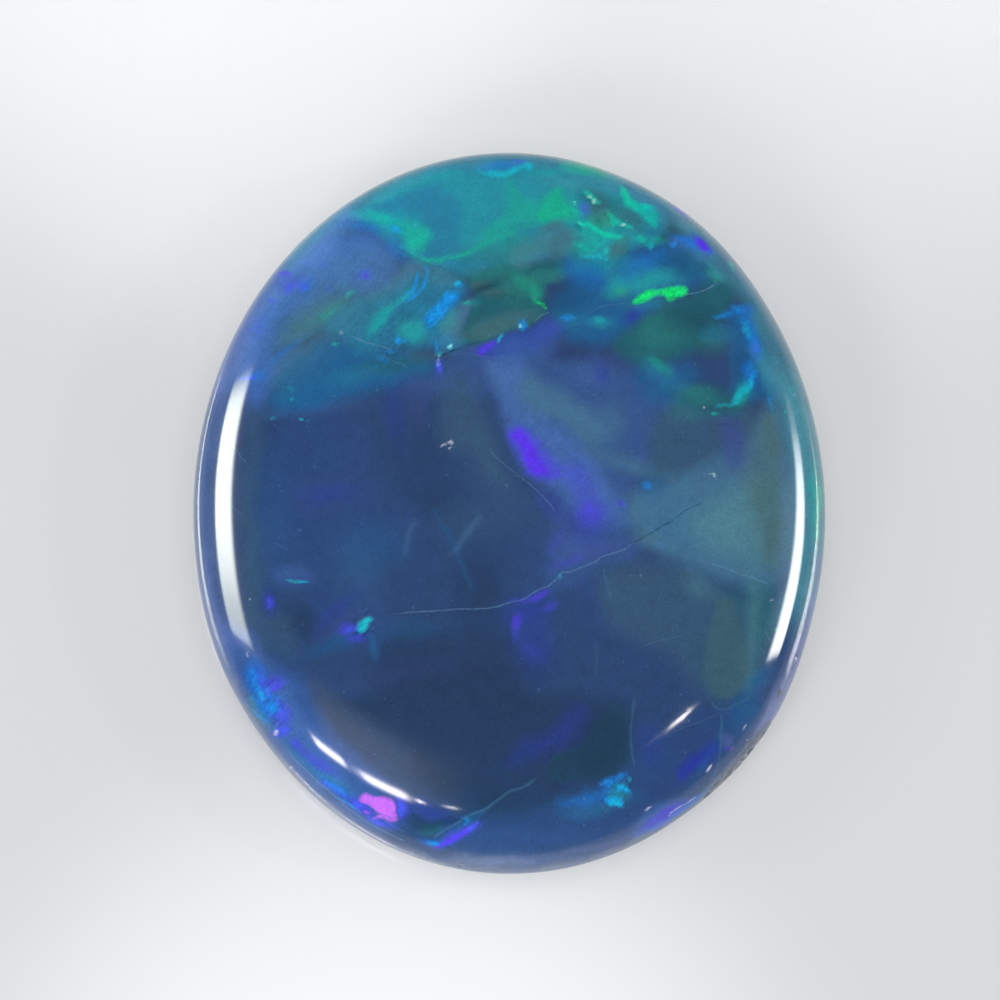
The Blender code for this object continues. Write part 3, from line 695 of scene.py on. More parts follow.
        *dots((1.6, 4.3, 0.04, 0.03, 0, 0.04, 0.4), (-1.2, 4.13, 0.14, 0.02, 0, 0.05, 0.25))),
    flash("blue_flash",
        streak(0.05, 0.06, 0.6, (-3.66, 3.8), (-3.45, 3.76)),
        streak(0.05, 0.05, 0.8, (-4.42, 2.2), (-4.2, 2.23)),
        streak(0.07, 0.05, 0.8, (3.2, 4.4), (3.28, 4.33), (3.33, 4.28)),
        streak(0.08, 0.08, 0.5, (-3.1, -4.4), (-2.95, -4.52), (-2.7, -4.7)),
        patch(0.08, 0.5, (-1.85, -4.62), (-1.7, -4.8), (-1.7, -5), (-1.82, -5.06), (-1.78, -4.85)),
        streak(0.07, 0.06, 0.7, (-0.76, -5.27), (-0.6, -5.18), (-0.56, -5.1)),
        streak(0.05, 0.08, 0.5, (2.95, -4.86), (2.65, -5.05), (2.35, -5.22)),
        *dots((-3.66, 3.72, 0.05, 0.08, 0, 0.06, 0.8), (-3.4, 3.73, 0.05, 0.05, 0, 0.05, 0.7),
              (-2.37, 3.9, 0.07, 0.04, 20, 0.07, 0.5), (-3.07, 4.09, 0.05, 0.03, 30, 0.06, 0.35),
              (-2.96, 3.68, 0.04, 0.04, 0, 0.05, 0.4), (-3.93, 3.52, 0.05, 0.05, 0, 0.06, 0.5),
              (-4.15, 3.05, 0.06, 0.12, -20, 0.14, 0.35), (0.15, 5.83, 0.12, 0.04, 0, 0.05, 0.4),
              (-1.15, 2.42, 0.035, 0.1, 5, 0.05, 0.8), (4.08, 2.7, 0.05, 0.12, 0, 0.1, 0.4),
              (1.05, 0.6, 0.1, 0.1, 10, 0.14, 0.2), (-3.95, -1.48, 0.03, 0.08, -15, 0.05, 0.3),
              (-2.62, -1.9, 0.1, 0.04, 30, 0.06, 0.5), (-4.1, -2.65, 0.08, 0.14, 20, 0.1, 0.4),
              (-3.85, -2.85, 0.14, 0.05, 30, 0.1, 0.5), (-4.02, -3, 0.08, 0.12, 0, 0.1, 0.3),
              (-3.75, -3.3, 0.1, 0.14, 20, 0.14, 0.4), (-3.75, -3.58, 0.12, 0.08, 20, 0.08, 0.7),
              (-3.5, -3.8, 0.07, 0.04, -50, 0.1, 0.4), (-2.5, -4.82, 0.08, 0.06, -20, 0.06, 0.7),
              (-2.2, -5.08, 0.12, 0.04, -20, 0.06, 0.7))),
    flash("violet",
        patch(0.12, 0.95, (0.02, 1.25), (0.08, 1.33), (0.22, 1.38), (0.32, 1.25), (0.33, 1.14),
              (0.44, 1.04), (0.52, 0.9), (0.6, 0.75), (0.68, 0.62), (0.5, 0.58), (0.38, 0.62),
              (0.3, 0.78), (0.22, 0.95), (0.16, 1.1)),
        patch(0.07, 0.5, (-0.58, 2.66), (-0.5, 2.78), (-0.32, 2.84), (-0.14, 2.89), (-0.36, 2.74),
              (-0.5, 2.6)),
        patch(0.05, 0.9, (3.03, 4.52), (3.14, 4.52), (3.24, 4.42), (3.3, 4.34), (3.18, 4.34),
              (3.08, 4.42)),
        streak(0.05, 0.07, 0.8, (-1.2, -5.5), (-1, -5.43), (-0.82, -5.34), (-0.66, -5.22)),
        *dots((0.45, 0.9, 0.16, 0.3, 35, 0.2, 0.15), (0.75, 0.65, 0.1, 0.06, -20, 0.1, 0.3),
              (-3.7, 3.95, 0.08, 0.035, 0, 0.05, 0.75), (-2.36, 3.88, 0.05, 0.04, 30, 0.05, 0.4),
              (2.85, 5, 0.1, 0.03, -30, 0.05, 0.4), (0.53, -1.32, 0.12, 0.05, 15, 0.06, 0.3),
              (0.15, -1.8, 0.05, 0.08, 0, 0.08, 0.35), (1.3, 0.02, 0.05, 0.1, 10, 0.1, 0.3),
              (-3.87, -2.88, 0.12, 0.04, 35, 0.06, 0.45), (-3.45, -3.85, 0.04, 0.02, -40, 0.05, 0.5),
              (3.58, -3.87, 0.05, 0.03, 10, 0.04, 0.4))),
    flash("magenta",
        patch(0.05, 1, (-2.5, -4.75), (-2.38, -4.6), (-2.2, -4.65), (-2.02, -4.64), (-1.84, -4.78),
              (-1.86, -4.92), (-1.82, -5.06), (-2, -4.98), (-2.14, -4.92), (-2.3, -4.78)),
        streak(0.06, 0.05, 0.8, (-2.25, -5.02), (-2.1, -4.97), (-1.95, -5.04), (-1.84, -5.06)),
        *dots((-2.35, -4.92, 0.04, 0.02, -20, 0.03, 0.5), (3.65, -3.88, 0.02, 0.04, 0, 0.03, 0.3))),
    flash("spark",
        streak(0.03, 0.03, 0.7, (-1, 2.71), (-0.93, 2.75)),
        streak(0.02, 0.03, 0.4, (-1.2, 2.62), (-1.1, 2.65)),
        *dots((1.34, 5.25, 0.03, 0.014, -35, 0.03, 0.6), (1.41, 5.17, 0.018, 0.03, 10, 0.03, 1),
              (1.87, 4.75, 0.035, 0.022, -40, 0.03, 1.4), (1.14, 5.13, 0.02, 0.02, 0, 0.03, 0.4),
              (1.15, 4.8, 0.04, 0.02, -35, 0.04, 0.25), (0.14, 3.1, 0.02, 0.03, 0, 0.03, 0.7),
              (-1.16, 2.5, 0.02, 0.06, 0, 0.04, 0.2), (3.4, 0.61, 0.015, 0.03, 15, 0.03, 0.7),
              (3.33, 0.65, 0.03, 0.01, -10, 0.02, 0.4), (-4.24, -1.45, 0.02, 0.02, 0, 0.02, 0.7),
              (2.18, -1.04, 0.02, 0.02, 0, 0.03, 0.25), (4.7, 1.95, 0.02, 0.02, 0, 0.03, 0.4))),
    # Tiny chips in the polish, and painted glints: the bright line and small glints at the lower right
    # stand for reflected lamps
    flash("nick",
        streak(0.03, 0.03, 0.9, (-1, 1.17), (-0.95, 1.19), (-0.92, 1.14)),
        streak(0.025, 0.03, 0.8, (-0.96, 1.11), (-1, 1.03)),
        streak(0.03, 0.03, 0.6, (-1.13, 1.08), (-1.09, 1.14)),
        patch(0.03, 0.5, (-3.92, -3.6), (-3.85, -3.54), (-3.78, -3.62), (-3.84, -3.68)),
        streak(0.03, 0.03, 0.7, (-3.85, -3.56), (-3.88, -3.66)),
        # Painted glints: this streak and the next two stand for lamps reflected on the lower right edge
        streak(0.016, 0.025, 1, (2.62, -5), (2.84, -4.86), (3.05, -4.7)),
        streak(0.035, 0.03, 1.1, (3.22, -4.24), (3.3, -4.15)),
        streak(0.022, 0.03, 0.8, (3.83, -3.58), (3.88, -3.48)),
        streak(0.02, 0.03, 0.4, (4.28, -1.38), (4.3, -1.44), (4.36, -1.44), (4.38, -1.4)),
        # Dots: chips in the polish, and painted glints at (3.9, -3.73) and (2.31, -4.91)
        *dots((-1.04, 1.15, 0.02, 0.015, 0, 0.03, 0.5), (-2.78, 2.98, 0.03, 0.025, 0, 0.03, 0.6),
              (-4.33, -2.34, 0.02, 0.035, 20, 0.03, 0.6), (3.2, 1.75, 0.02, 0.02, 0, 0.02, 0.5),
              (-3.6, -4.2, 0.04, 0.03, 20, 0.03, 0.4), (3.9, -3.73, 0.025, 0.01, 0, 0.02, 0.6),
              (2.31, -4.91, 0.04, 0.015, 30, 0.03, 0.6), (-0.34, 1.03, 0.015, 0.015, 0, 0.03, 0.3))),
)

LINES = {
    "healed_crack": (
        hair(0.55, (-1.95, -1.67), (-1.5, -1.63), (-1, -1.58), (-0.5, -1.58), (-0.15, -1.55), (0, -1.48),
             (0.2, -1.43), (0.35, -1.32), (0.5, -1.24), (0.65, -1.2), (0.78, -1.08), (0.82, -0.97),
             (1, -0.96), (1.1, -0.93), (1.3, -0.85), (1.45, -0.79), (1.5, -0.72), (1.8, -0.63),
             (2.1, -0.45)),
        hair(0.8, (2.9, 3.62), (3.05, 3.63), (3.2, 3.68), (3.42, 3.8)),
        hair(0.4, (0.65, 3.3), (0.5, 3.26), (0.4, 3.18)),
        hair(0.5, (3.2, -0.8), (3.6, -0.93), (4, -1.08), (4.3, -1.18)),
        hair(0.15, (-0.95, 2.6), (-0.7, 2.64), (-0.4, 2.58), (0, 2.59)),
        hair(0.5, (-2.6, 2.92), (-2.3, 2.8), (-1.93, 2.68)),
    ),
    "soft_crack": (
        hair(0.4, (0.45, -4.33), (0.3, -4.5), (0, -4.57), (-0.2, -4.73), (-0.4, -4.87), (-0.6, -4.93),
             (-0.85, -5.1), (-1.3, -5.36)),
        hair(0.4, (3.5, -3.28), (3.48, -3.7), (3.45, -4), (3.4, -4.25), (3.3, -4.5)),
        hair(0.35, (3.3, -3.1), (3.5, -3.28), (3.78, -3.13), (4, -3.02)),
        hair(0.35, (2.07, -3.05), (2, -3.4), (1.98, -3.8), (2.05, -4.2)),
        hair(0.15, (1.43, -2.1), (1.42, -2.7)),
        hair(0.3, (1.55, -0.9), (1.64, -1.2), (1.7, -1.45)),
    ),
    "fine_line": (
        # Painted reflections: these three pale lines along the lower left edge stand for reflected lamp
        # light
        hair(1, (-3.63, -3.93), (-3.4, -4.2), (-3, -4.56), (-2.7, -4.82)),
        hair(0.9, (-2.8, -4.78), (-2.33, -5.12), (-1.9, -5.32), (-1.7, -5.4)),
        hair(0.4, (-2.2, -4.95), (-1.95, -5.15), (-1.7, -5.26)),
        # Painted reflection: a bright line in the flash at the lower right edge
        hair(0.9, (2.72, -4.94), (2.85, -4.84), (2.97, -4.75)),
        hair(0.5, (-0.35, 1.03), (0, 0.74), (0.3, 0.5), (0.55, 0.27), (0.75, 0.02)),
        hair(0.3, (3.48, -3.3), (3.1, -3.45), (2.7, -3.6)),
        hair(0.25, (2.2, -2.2), (2.5, -2.08), (2.85, -2.02)),
        hair(0.35, (1.3, 3.3), (1.5, 3.4), (1.9, 3.46)),
        hair(0.35, (-2.15, 2.62), (-1.9, 2.5), (-1.65, 2.38)),
        hair(0.2, (-3.9, -0.5), (-3.65, -0.62)),
        hair(0.5, (-4.6, 1.12), (-4.45, 0.95), (-4.33, 0.8)),
        hair(0.5, (-4.62, 0.2), (-4.5, 0.05), (-4.4, -0.02)),
        hair(0.5, (4.2, -1.92), (4.25, -2.02), (4.32, -2.12)),
        hair(0.4, (4.13, -2.2), (4.22, -2.32)),
    ),
    "open_crack": (
        hair(1, (-1.1, 2.6), (-0.95, 2.67), (-0.8, 2.72)),
        hair(0.35, (-0.8, 2.72), (-0.6, 2.8), (-0.3, 2.87), (-0.02, 2.96)),
        hair(0.6, (2, -0.5), (2.3, -0.35), (2.5, -0.22), (2.75, -0.1), (2.9, 0.05), (3.2, 0.2)),
        hair(0.25, (-1.9, 4.4), (-1.65, 4.27), (-1.4, 4.1), (-1.1, 4.05), (-0.9, 3.9), (-0.7, 3.76)),
        hair(0.4, (3.35, 1.45), (3.6, 1.46)),
        hair(0.3, (2.1, 3.5), (2.5, 3.52), (2.9, 3.56), (3.1, 3.62)),
        hair(0.4, (-0.75, -5.06), (-0.9, -5.02), (-1.05, -5)),
        hair(1, (4.41, -3.05), (4.44, -2.97), (4.47, -2.9)),
    ),
}


def girdle_reach(angle):
    """Distance from the stone's axis to its girdle: an ellipse with the hand-ground swellings."""
    half_width, half_length = WIDTH / 2, LENGTH / 2
    reach = half_width * half_length / math.hypot(
        half_length * math.cos(angle), half_width * math.sin(angle))
    for middle, spread, height in SWELLINGS:
        turn = math.remainder(angle - middle, math.tau)
        if abs(turn) < spread:
            reach += height * math.cos(turn / spread * math.pi / 2) ** 2
    return reach


def crown_height(share):
    return HEIGHT - CROWN_ARC_DEPTH * (1 - math.sqrt(1 - share**2))


def arc(start, corner, end, rings):
    """Points of a curve from start to end that leaves and arrives along the lines to corner."""
    for step in range(1, rings + 1):
        part = step / rings
        yield start * (1 - part) ** 2 + corner * 2 * part * (1 - part) + end * part**2


def stone_profile():
    """The rings of the crown and shoulder, and those of the wall and foot, as (share, height)."""
    crown = []
    for ring in range(CROWN_RINGS + 1):
        share = CROWN_SHARE * ring / CROWN_RINGS
        crown.append(Vector((share, crown_height(share))))
    brow = crown[-1]
    fall = CROWN_ARC_DEPTH * CROWN_SHARE / math.sqrt(1 - CROWN_SHARE**2)
    wall_top = Vector((WALL_TOP_SHARE, WALL_TOP_HEIGHT))
    wall_corner = Vector((1.0, WALL_CORNER_HEIGHT))
    lean = (wall_corner.x - wall_top.x) / (wall_top.y - wall_corner.y)
    # The shoulder's corner is where the dome's last slope meets the wall's line
    height = (brow.y - fall * (wall_top.x + lean * wall_top.y - brow.x)) / (1 - fall * lean)
    shoulder_corner = Vector((wall_top.x + lean * (wall_top.y - height), height))
    girdle = Vector((1.0, GIRDLE_HEIGHT))
    foot_corner = Vector((1.0, FOOT_CORNER_HEIGHT))
    foot_end = Vector((BACK_SHARE, 0.0))
    top = [*crown, *arc(brow, shoulder_corner, wall_top, SHOULDER_RINGS)]
    side = [
        *arc(wall_top, wall_corner, girdle, WALL_RINGS),
        *arc(girdle, foot_corner, foot_end, FOOT_RINGS),
    ]
    return top, side


def place_on_stone(share, height, angle):
    """The point of the surface at this share of the reach, height and angle."""
    reach = share * girdle_reach(angle)
    rise = (height - GIRDLE_HEIGHT) / (crown_height(CROWN_SHARE) - GIRDLE_HEIGHT)
    rise = min(max(rise, 0.0), 1.0)
    return Vector((
        reach * math.cos(angle) + CROWN_SHIFT[0] * rise,
        reach * math.sin(angle) + CROWN_SHIFT[1] * rise,
        height,
    ))


def grid_ring_and_angle(across, along, rings):
    """Which ring of an oval a point of a square grid goes to, and at which angle."""
    ring = round(max(abs(across), abs(along)) * rings)
    if ring == 0:
        return 0, 0.0
    if abs(across) >= abs(along):
        return ring, math.pi / 4 * along / across + (math.pi if across < 0 else 0)
    return ring, math.pi / 2 - math.pi / 4 * across / along + (math.pi if along < 0 else 0)


def bend_grid(body, rings, place):
    """Adds a square grid bent to an oval by place(ring, angle). Returns its rim in order of angle."""
    grid = bmesh.ops.create_grid(body, x_segments=2 * rings, y_segments=2 * rings, size=1)["verts"]
    rim = []
    for vertex in grid:
        ring, angle = grid_ring_and_angle(vertex.co.x, vertex.co.y, rings)
        vertex.co = place(ring, angle)
        if ring == rings:
            rim.append((angle % math.tau, vertex))
    rim.sort(key=lambda pair: pair[0])
    return grid, [vertex for _, vertex in rim], [angle for angle, _ in rim]


def build_stone_mesh():
    """The whole surface of the stone, in metres."""
    top, side = stone_profile()
    body = bmesh.new()
    _, upper, angles = bend_grid(
        body, len(top) - 1, lambda ring, angle: place_on_stone(*top[ring], angle))
    count = len(upper)
    for share, height in side:
        lower = [body.verts.new(place_on_stone(share, height, angle)) for angle in angles]
        for here in range(count):
            ahead = (here + 1) % count
            body.faces.new((upper[here], lower[here], lower[ahead], upper[ahead]))
        upper = lower
    # The flat back is a coarser grid, joined to the foot's last ring
    back, rim, _ = bend_grid(body, BACK_RINGS, lambda ring, angle: place_on_stone(
        BACK_GRID_SHARE * ring / BACK_RINGS, 0.0, angle))
    bmesh.ops.reverse_faces(body, faces=list({face for vertex in back for face in vertex.link_faces}))
    ratio = count // len(rim)
    for here in range(count):
        inner = rim[(here + ratio // 2) // ratio % len(rim)]
        body.faces.new((upper[here], inner, upper[(here + 1) % count]))
    for here in range(len(rim)):
        ahead = (here + 1) % len(rim)
        body.faces.new((rim[here], rim[ahead], upper[(here * ratio + ratio // 2) % count]))
    bmesh.ops.scale(body, vec=Vector((MM, MM, MM)), verts=body.verts)
    mesh = bpy.data.meshes.new("black_opal_polished")
    body.to_mesh(mesh)
    body.free()
    mesh.shade_smooth()
    return mesh


def vertex_places(mesh):
    flat = np.empty(len(mesh.vertices) * 3)
    mesh.vertices.foreach_get("co", flat)
    return flat.reshape(-1, 3) / MM


# How far in the plan is drawn on the back
BACK_PULL = 0.12


def view_plan(places, facing):
    """Where each point of the stone is in the photograph's view.

    Where the surface turns away from that view the plan is drawn inward, so that the marks carry on
    round the edge.
    """
    right = places @ np.array(RIGHT_OF_VIEW) - OUTLINE_MIDDLE[0]
    up = places @ np.array(UP_OF_VIEW) - OUTLINE_MIDDLE[1]
    pull = 1 - BACK_PULL * smooth(-facing)
    return right * pull, up * pull


def add_values(mesh, name, values):
    layer = mesh.attributes.new(name, "FLOAT", "POINT")
    layer.data.foreach_set("value", values.astype(np.float32))


# The marks drift a little from their places, as (size of the waves, reach), by the same draw each time.
# They drift more where the surface turns away from the photograph's view.
DRIFT_SEED = 14
WARPS = ((0.16, 0.028), (0.5, 0.07))
SIDE_DRIFT = 3
SIDE_FACING = 0.2
# Hair lines follow the colours' drift only in part, and are more jagged close up
LINE_DRIFT = 0.4
LINE_WARP = (0.12, 0.009)

# Where brushed streaks show most
BRUSHED = (
    patch(0.6, 1, (-4.3, 3), (-3, 4.4), (-1.6, 4.2), (-0.6, 3.8), (-0.9, 2.6), (-1.8, 2.2), (-3.2, 1.6),
          (-4.2, 1.6)),
    *dots((1.8, 4.6, 0.8, 0.6, 0, 0.5, 0.9), (0.2, 1.5, 2.5, 1.6, 0, 1.5, 0.3),
          (0.5, -2, 3, 2.5, 0, 1.5, 0.25)),
)
# Where the flashes break up into small bright and dark scales
GLITTER = (
    patch(0.15, 0.45, (-0.8, 3.75), (-1.1, 3.75), (-1.5, 3.2), (-1.35, 2.95), (-1.1, 3.1)),
    *dots((1.7, 4.8, 0.7, 0.5, -20, 0.4, 0.08), (2.5, 4.5, 0.5, 0.2, -20, 0.3, 0.2),
          (-2.1, 3.2, 0.6, 0.4, 45, 0.4, 0.14), (-1.9, 2.75, 0.4, 0.2, -15, 0.2, 0.25),
          (1.7, -4.6, 0.3, 0.3, 0, 0.15, 0.45), (-4, -3.1, 0.35, 0.6, 20, 0.25, 0.4),
          (-2.9, -4.5, 0.6, 0.15, -38, 0.15, 0.25), (-2.1, -4.85, 0.4, 0.25, -10, 0.1, 0.12),
          (-2.4, -1.8, 0.25, 0.25, 0, 0.1, 0.45), (2.5, 3.6, 0.5, 0.15, 5, 0.15, 0.32),
          (3.9, 2.6, 0.3, 0.9, 0, 0.2, 0.16), (0.3, 3.6, 0.5, 0.4, 0, 0.3, 0.15),
          (0.4, 0.9, 0.6, 0.5, -40, 0.4, 0.12)),
)

# The potch starts under the girdle and covers the foot and the back, by height
POTCH_TOP = 1.05
POTCH_BOTTOM = 0.55

# Pits left in the side, as (angle in degrees, height, radius, depth), and in the ground back
SIDE_PITS = (
    (305, 1.25, 0.10, 0.040), (307, 1.40, 0.08, 0.030), (309, 1.22, 0.12, 0.060), (310, 1.36, 0.10, 0.040),
    (312, 1.18, 0.14, 0.080), (313, 1.34, 0.08, 0.030), (315, 1.25, 0.13, 0.070), (317, 1.12, 0.11, 0.050),
    (319, 1.30, 0.08, 0.030), (322, 1.20, 0.08, 0.025),
    (333, 1.50, 0.06, 0.035), (262, 1.34, 0.08, 0.022), (264, 1.44, 0.06, 0.016), (260, 1.28, 0.06, 0.016),
    (265, 1.30, 0.07, 0.020), (70, 0.70, 0.12, 0.020), (190, 0.80, 0.10, 0.020), (12, 0.60, 0.14, 0.020),
    (110, 0.45, 0.12, 0.020), (235, 0.60, 0.12, 0.020),
)
# Side pits leave what is nearer to the axis alone
SIDE_START = 0.9 * BACK_SHARE * WIDTH / 2
# Pits this deep or deeper get the full painted shade
FULL_PIT_SHADE_DEPTH = 0.04
# A darker strip without pits, along the lower right edge
DARK_STRIP = (
    streak(0.2, 0.07, 1, (3.2, -4.72), (3.55, -4.4), (3.9, -4.02), (4.12, -3.72), (4.3, -3.45)),
    *dots((4.46, -2.95, 0.03, 0.06, -10, 0.03, 1)),
)
# As (right, up, radius, depth), pressed into all that is lower than this
ON_BACK = 1e-4
BACK_PITS = (
    (1.8, 2.2, 0.35, 0.030), (2.3, 1.8, 0.28, 0.022), (-2.6, 0.9, 0.40, 0.030), (-0.6, -3.1, 0.50, 0.035),
    (0.4, -2.7, 0.30, 0.020), (-1.9, 3.4, 0.32, 0.025), (3.1, -1.2, 0.36, 0.028), (0.9, 4.1, 0.30, 0.020),
)


def carve_pits(mesh):
    """Presses the pits into the side and the back. Returns how deep in a side pit each point is."""
    places = vertex_places(mesh)
    grime = np.zeros(len(places))
    angles = np.arctan2(places[:, 1], places[:, 0])
    reach = np.hypot(places[:, 0], places[:, 1])
    for turn, height, radius, depth in SIDE_PITS:
        around = np.remainder(angles - math.radians(turn) + math.pi, math.tau) - math.pi
        away = np.hypot(around * reach, places[:, 2] - height) / radius
        here = (away < 1) & (reach > SIDE_START)
        hollow = (1 - away[here] ** 2) ** 2
        pull = 1 - depth * hollow / reach[here]
        places[here, 0] *= pull
        places[here, 1] *= pull
        # Painted shade: the colour is darkened in the side pits, the more the deeper they are
        grime[here] = np.maximum(grime[here], hollow * min(depth / FULL_PIT_SHADE_DEPTH, 1))
    for right, up, radius, depth in BACK_PITS:
        away = np.hypot(places[:, 0] - right, places[:, 1] - up) / radius
        here = (away < 1) & (places[:, 2] < ON_BACK)
        places[here, 2] += depth * (1 - away[here] ** 2) ** 2
    mesh.vertices.foreach_set("co", (places * MM).ravel())
    return grime


def paint_stone(mesh, grime):
    """Works out every layer's cover and every crack's distance, and keeps them on the mesh."""
    noise.seed_set(DRIFT_SEED)
    places = vertex_places(mesh)
    facing = np.array([normal.vector.dot(BACK_OF_VIEW) for normal in mesh.vertex_normals])
    u, v = view_plan(places, facing)
    plain_u, plain_v = u.copy(), v.copy()
    for scale, reach in WARPS:
        drift = np.array([noise.noise_vector(Vector(place) / scale) for place in places])
        loose = 1 + SIDE_DRIFT * smooth(SIDE_FACING - facing)
        u = u + drift[:, 0] * reach * loose
        v = v + drift[:, 1] * reach * loose
    for layer in LAYERS:
        cover = (veil_cover if layer.kind == "veil" else flash_cover)(layer.marks, u, v)
        add_values(mesh, layer.name, cover)
    scale, reach = LINE_WARP
    jags = reach * np.array([noise.noise_vector(Vector(place) / scale) for place in places])
    line_u = plain_u + (u - plain_u) * LINE_DRIFT + jags[:, 0]
    line_v = plain_v + (v - plain_v) * LINE_DRIFT + jags[:, 1]
    for name, lines in LINES.items():
        offset, strength = line_cover(lines, line_u, line_v)
        add_values(mesh, f"{name}_offset", offset)
        add_values(mesh, f"{name}_strength", strength)
    add_values(mesh, "brushed", veil_cover(BRUSHED, u, v))
    add_values(mesh, "glitter", veil_cover(GLITTER, u, v))
    # Painted shade in the side pits, and the darker strip along the lower right edge
    add_values(mesh, "grime", np.maximum(grime, veil_cover(DARK_STRIP, plain_u, plain_v)))


class NodeTree:
    """A few short calls for building the nodes of a material or a light, up to its end node."""

    def __init__(self, owner, end="Principled BSDF"):
        owner.use_nodes = True
        self.nodes = owner.node_tree.nodes
        self.links = owner.node_tree.links
        self.end = self.nodes[end]

    def feed(self, socket, value):
        if isinstance(value, bpy.types.NodeSocket):
            self.links.new(value, socket)
        elif isinstance(value, tuple) and len(value) == 3 and len(socket.default_value) == 4:
            socket.default_value = (*value, 1.0)
        else:
            socket.default_value = value

    def end_with(self, inputs):
        for name, value in inputs.items():
            self.feed(self.end.inputs[name], value)

    def node(self, kind, inputs=None, **settings):
        made = self.nodes.new(kind)
        for name, value in settings.items():
            setattr(made, name, value)
        for name, value in (inputs or {}).items():
            self.feed(made.inputs[name], value)
        return made

    def math(self, operation, *values, clamp=False):
        return self.node(
            "ShaderNodeMath", dict(enumerate(values)), operation=operation, use_clamp=clamp).outputs[0]

    def spread(self, value, low, high):
        """Takes a value between 0 and 1 to low and high."""
        return self.math("MULTIPLY_ADD", value, high - low, low)

    def mix(self, factor, first, second, blend="MIX"):
        # The sockets of a mix node that are for colours
        inputs = {0: factor, 6: first, 7: second}
        return self.node("ShaderNodeMix", inputs, data_type="RGBA", blend_type=blend).outputs[2]

    def shaded(self, colour, shade):
        """A colour made darker or brighter by a shade."""
        grey = self.node("ShaderNodeCombineColor", {0: shade, 1: shade, 2: shade}).outputs[0]
        return self.mix(1.0, colour, grey, "MULTIPLY")

    def attribute(self, name):
        return self.node("ShaderNodeAttribute", attribute_name=name).outputs["Fac"]

    def noise(self, place, scale, detail, roughness=0.5):
        inputs = {"Vector": place, "Scale": scale, "Detail": detail, "Roughness": roughness}
        return self.node("ShaderNodeTexNoise", inputs).outputs["Fac"]

    def slanted_noise(self, place, turn, along, across):
        """Noise drawn out into streaks: their turn in degrees, their length and their width."""
        slanted = self.node("ShaderNodeMapping", {
            "Vector": place, "Rotation": (0.0, 0.0, math.radians(turn)), "Scale": (along, across, along)},
            vector_type="TEXTURE").outputs[0]
        return self.noise(slanted, 1.0, 3.0, 0.6)

    def range(self, value, low, high, to_low=0.0, to_high=1.0):
        inputs = {"Value": value, "From Min": low, "From Max": high, "To Min": to_low, "To Max": to_high}
        return self.node("ShaderNodeMapRange", inputs, interpolation_type="SMOOTHSTEP").outputs[0]


# Noise over the stone, as (grains to a millimetre, detail, roughness)
CLOUD = (1.6, 3.0, 0.55)
GRAIN = (14.0, 3.0, 0.6)
MOTTLE = (5.0, 5.0, 0.65)
FINE_GRAIN = (22.0, 2.0, 0.5)
FINE_DUST = (15.0, 2.0, 0.7)
COARSE_DUST = (7.0, 1.0, 0.6)
DUST_PATCHES = (1.1, 2.0, 0.5)
# Noise drawn out into streaks, as (turn in degrees, length of the grains, their width)
BRUSH = (48, 0.6, 0.06)
SCALES = (45, 0.12, 0.045)

# How hair lines look, as (width, how uneven it is for that width, colour)
LINE_LOOKS = {
    "healed_crack": (0.042, 1.2, "pale_crack_and_reflection"),
    "soft_crack": (0.09, 0.5, "crack_soft"),
    # Fine pale lines, some of them painted reflections
    "fine_line": (0.026, 0.8, "pale_crack_and_reflection"),
    "open_crack": (0.032, 1.6, "crack_dark"),
}
LINE_FILL = 0.4

OPAL_IOR = 1.45
POLISHED = 0.06
GROUND = 0.45
# The heights between which the ground back goes over into the polish
GROUND_UP_TO = (0.02, 0.5)


def dust_cover(tree, place):
    """Fine pale specks of uneven size and strength, scattered in patches over the polish."""
    fine = tree.range(tree.noise(place, *FINE_DUST), 0.66, 0.80, 0.0, 0.34)
    coarse = tree.range(tree.noise(place, *COARSE_DUST), 0.76, 0.80, 0.0, 0.2)
    patchy = tree.range(tree.noise(place, *DUST_PATCHES), 0.4, 0.6, 0.25, 1.0)
    return tree.math("MULTIPLY", tree.math("MAXIMUM", fine, coarse), patchy)


def lay_colours(tree, colour, looks, cloud, grain):
    """Lays the play of colour, the hair lines and the painted reflection lines over the stone's body."""
    for layer in LAYERS:
        cover = tree.attribute(layer.name)
        if layer.kind == "veil":
            cover = tree.math("MULTIPLY", cover, tree.spread(cloud, 0.75, 1.25), clamp=True)
        else:
            cover = tree.math("ADD", cover, tree.spread(grain, -0.45, 0.45), clamp=True)
        colour = tree.mix(cover, colour, looks[layer.name])
    for name, (width, uneven, tint) in LINE_LOOKS.items():
        distance = tree.math("ABSOLUTE", tree.attribute(f"{name}_offset"))
        ragged = tree.spread(grain, width * (LINE_FILL - uneven / 2), width * (LINE_FILL + uneven / 2))
        edge = tree.math("SUBTRACT", 1.0, tree.math("DIVIDE", distance, ragged), clamp=True)
        shown = tree.math("MULTIPLY", edge, tree.attribute(f"{name}_strength"))
        colour = tree.mix(shown, colour, looks[tint])
    return colour


def brightness_noise(tree, place):
    """Unevenness all over: patches, grains, brushed streaks that run up to the right, and scales."""
    streaks = tree.spread(tree.slanted_noise(place, *BRUSH), -0.17, 0.17)
    streaks = tree.math("MULTIPLY", streaks, tree.attribute("brushed"))
    uneven = tree.math("ADD", tree.spread(tree.noise(place, *MOTTLE), 0.8, 1.2), streaks)
    uneven = tree.math("ADD", uneven, tree.spread(tree.noise(place, *FINE_GRAIN), -0.21, 0.21))
    scales = tree.spread(tree.slanted_noise(place, *SCALES), -1.6, 1.6)
    scales = tree.math("MULTIPLY", scales, tree.attribute("glitter"))
    return tree.math("ADD", uneven, tree.math("MAXIMUM", scales, -0.35))


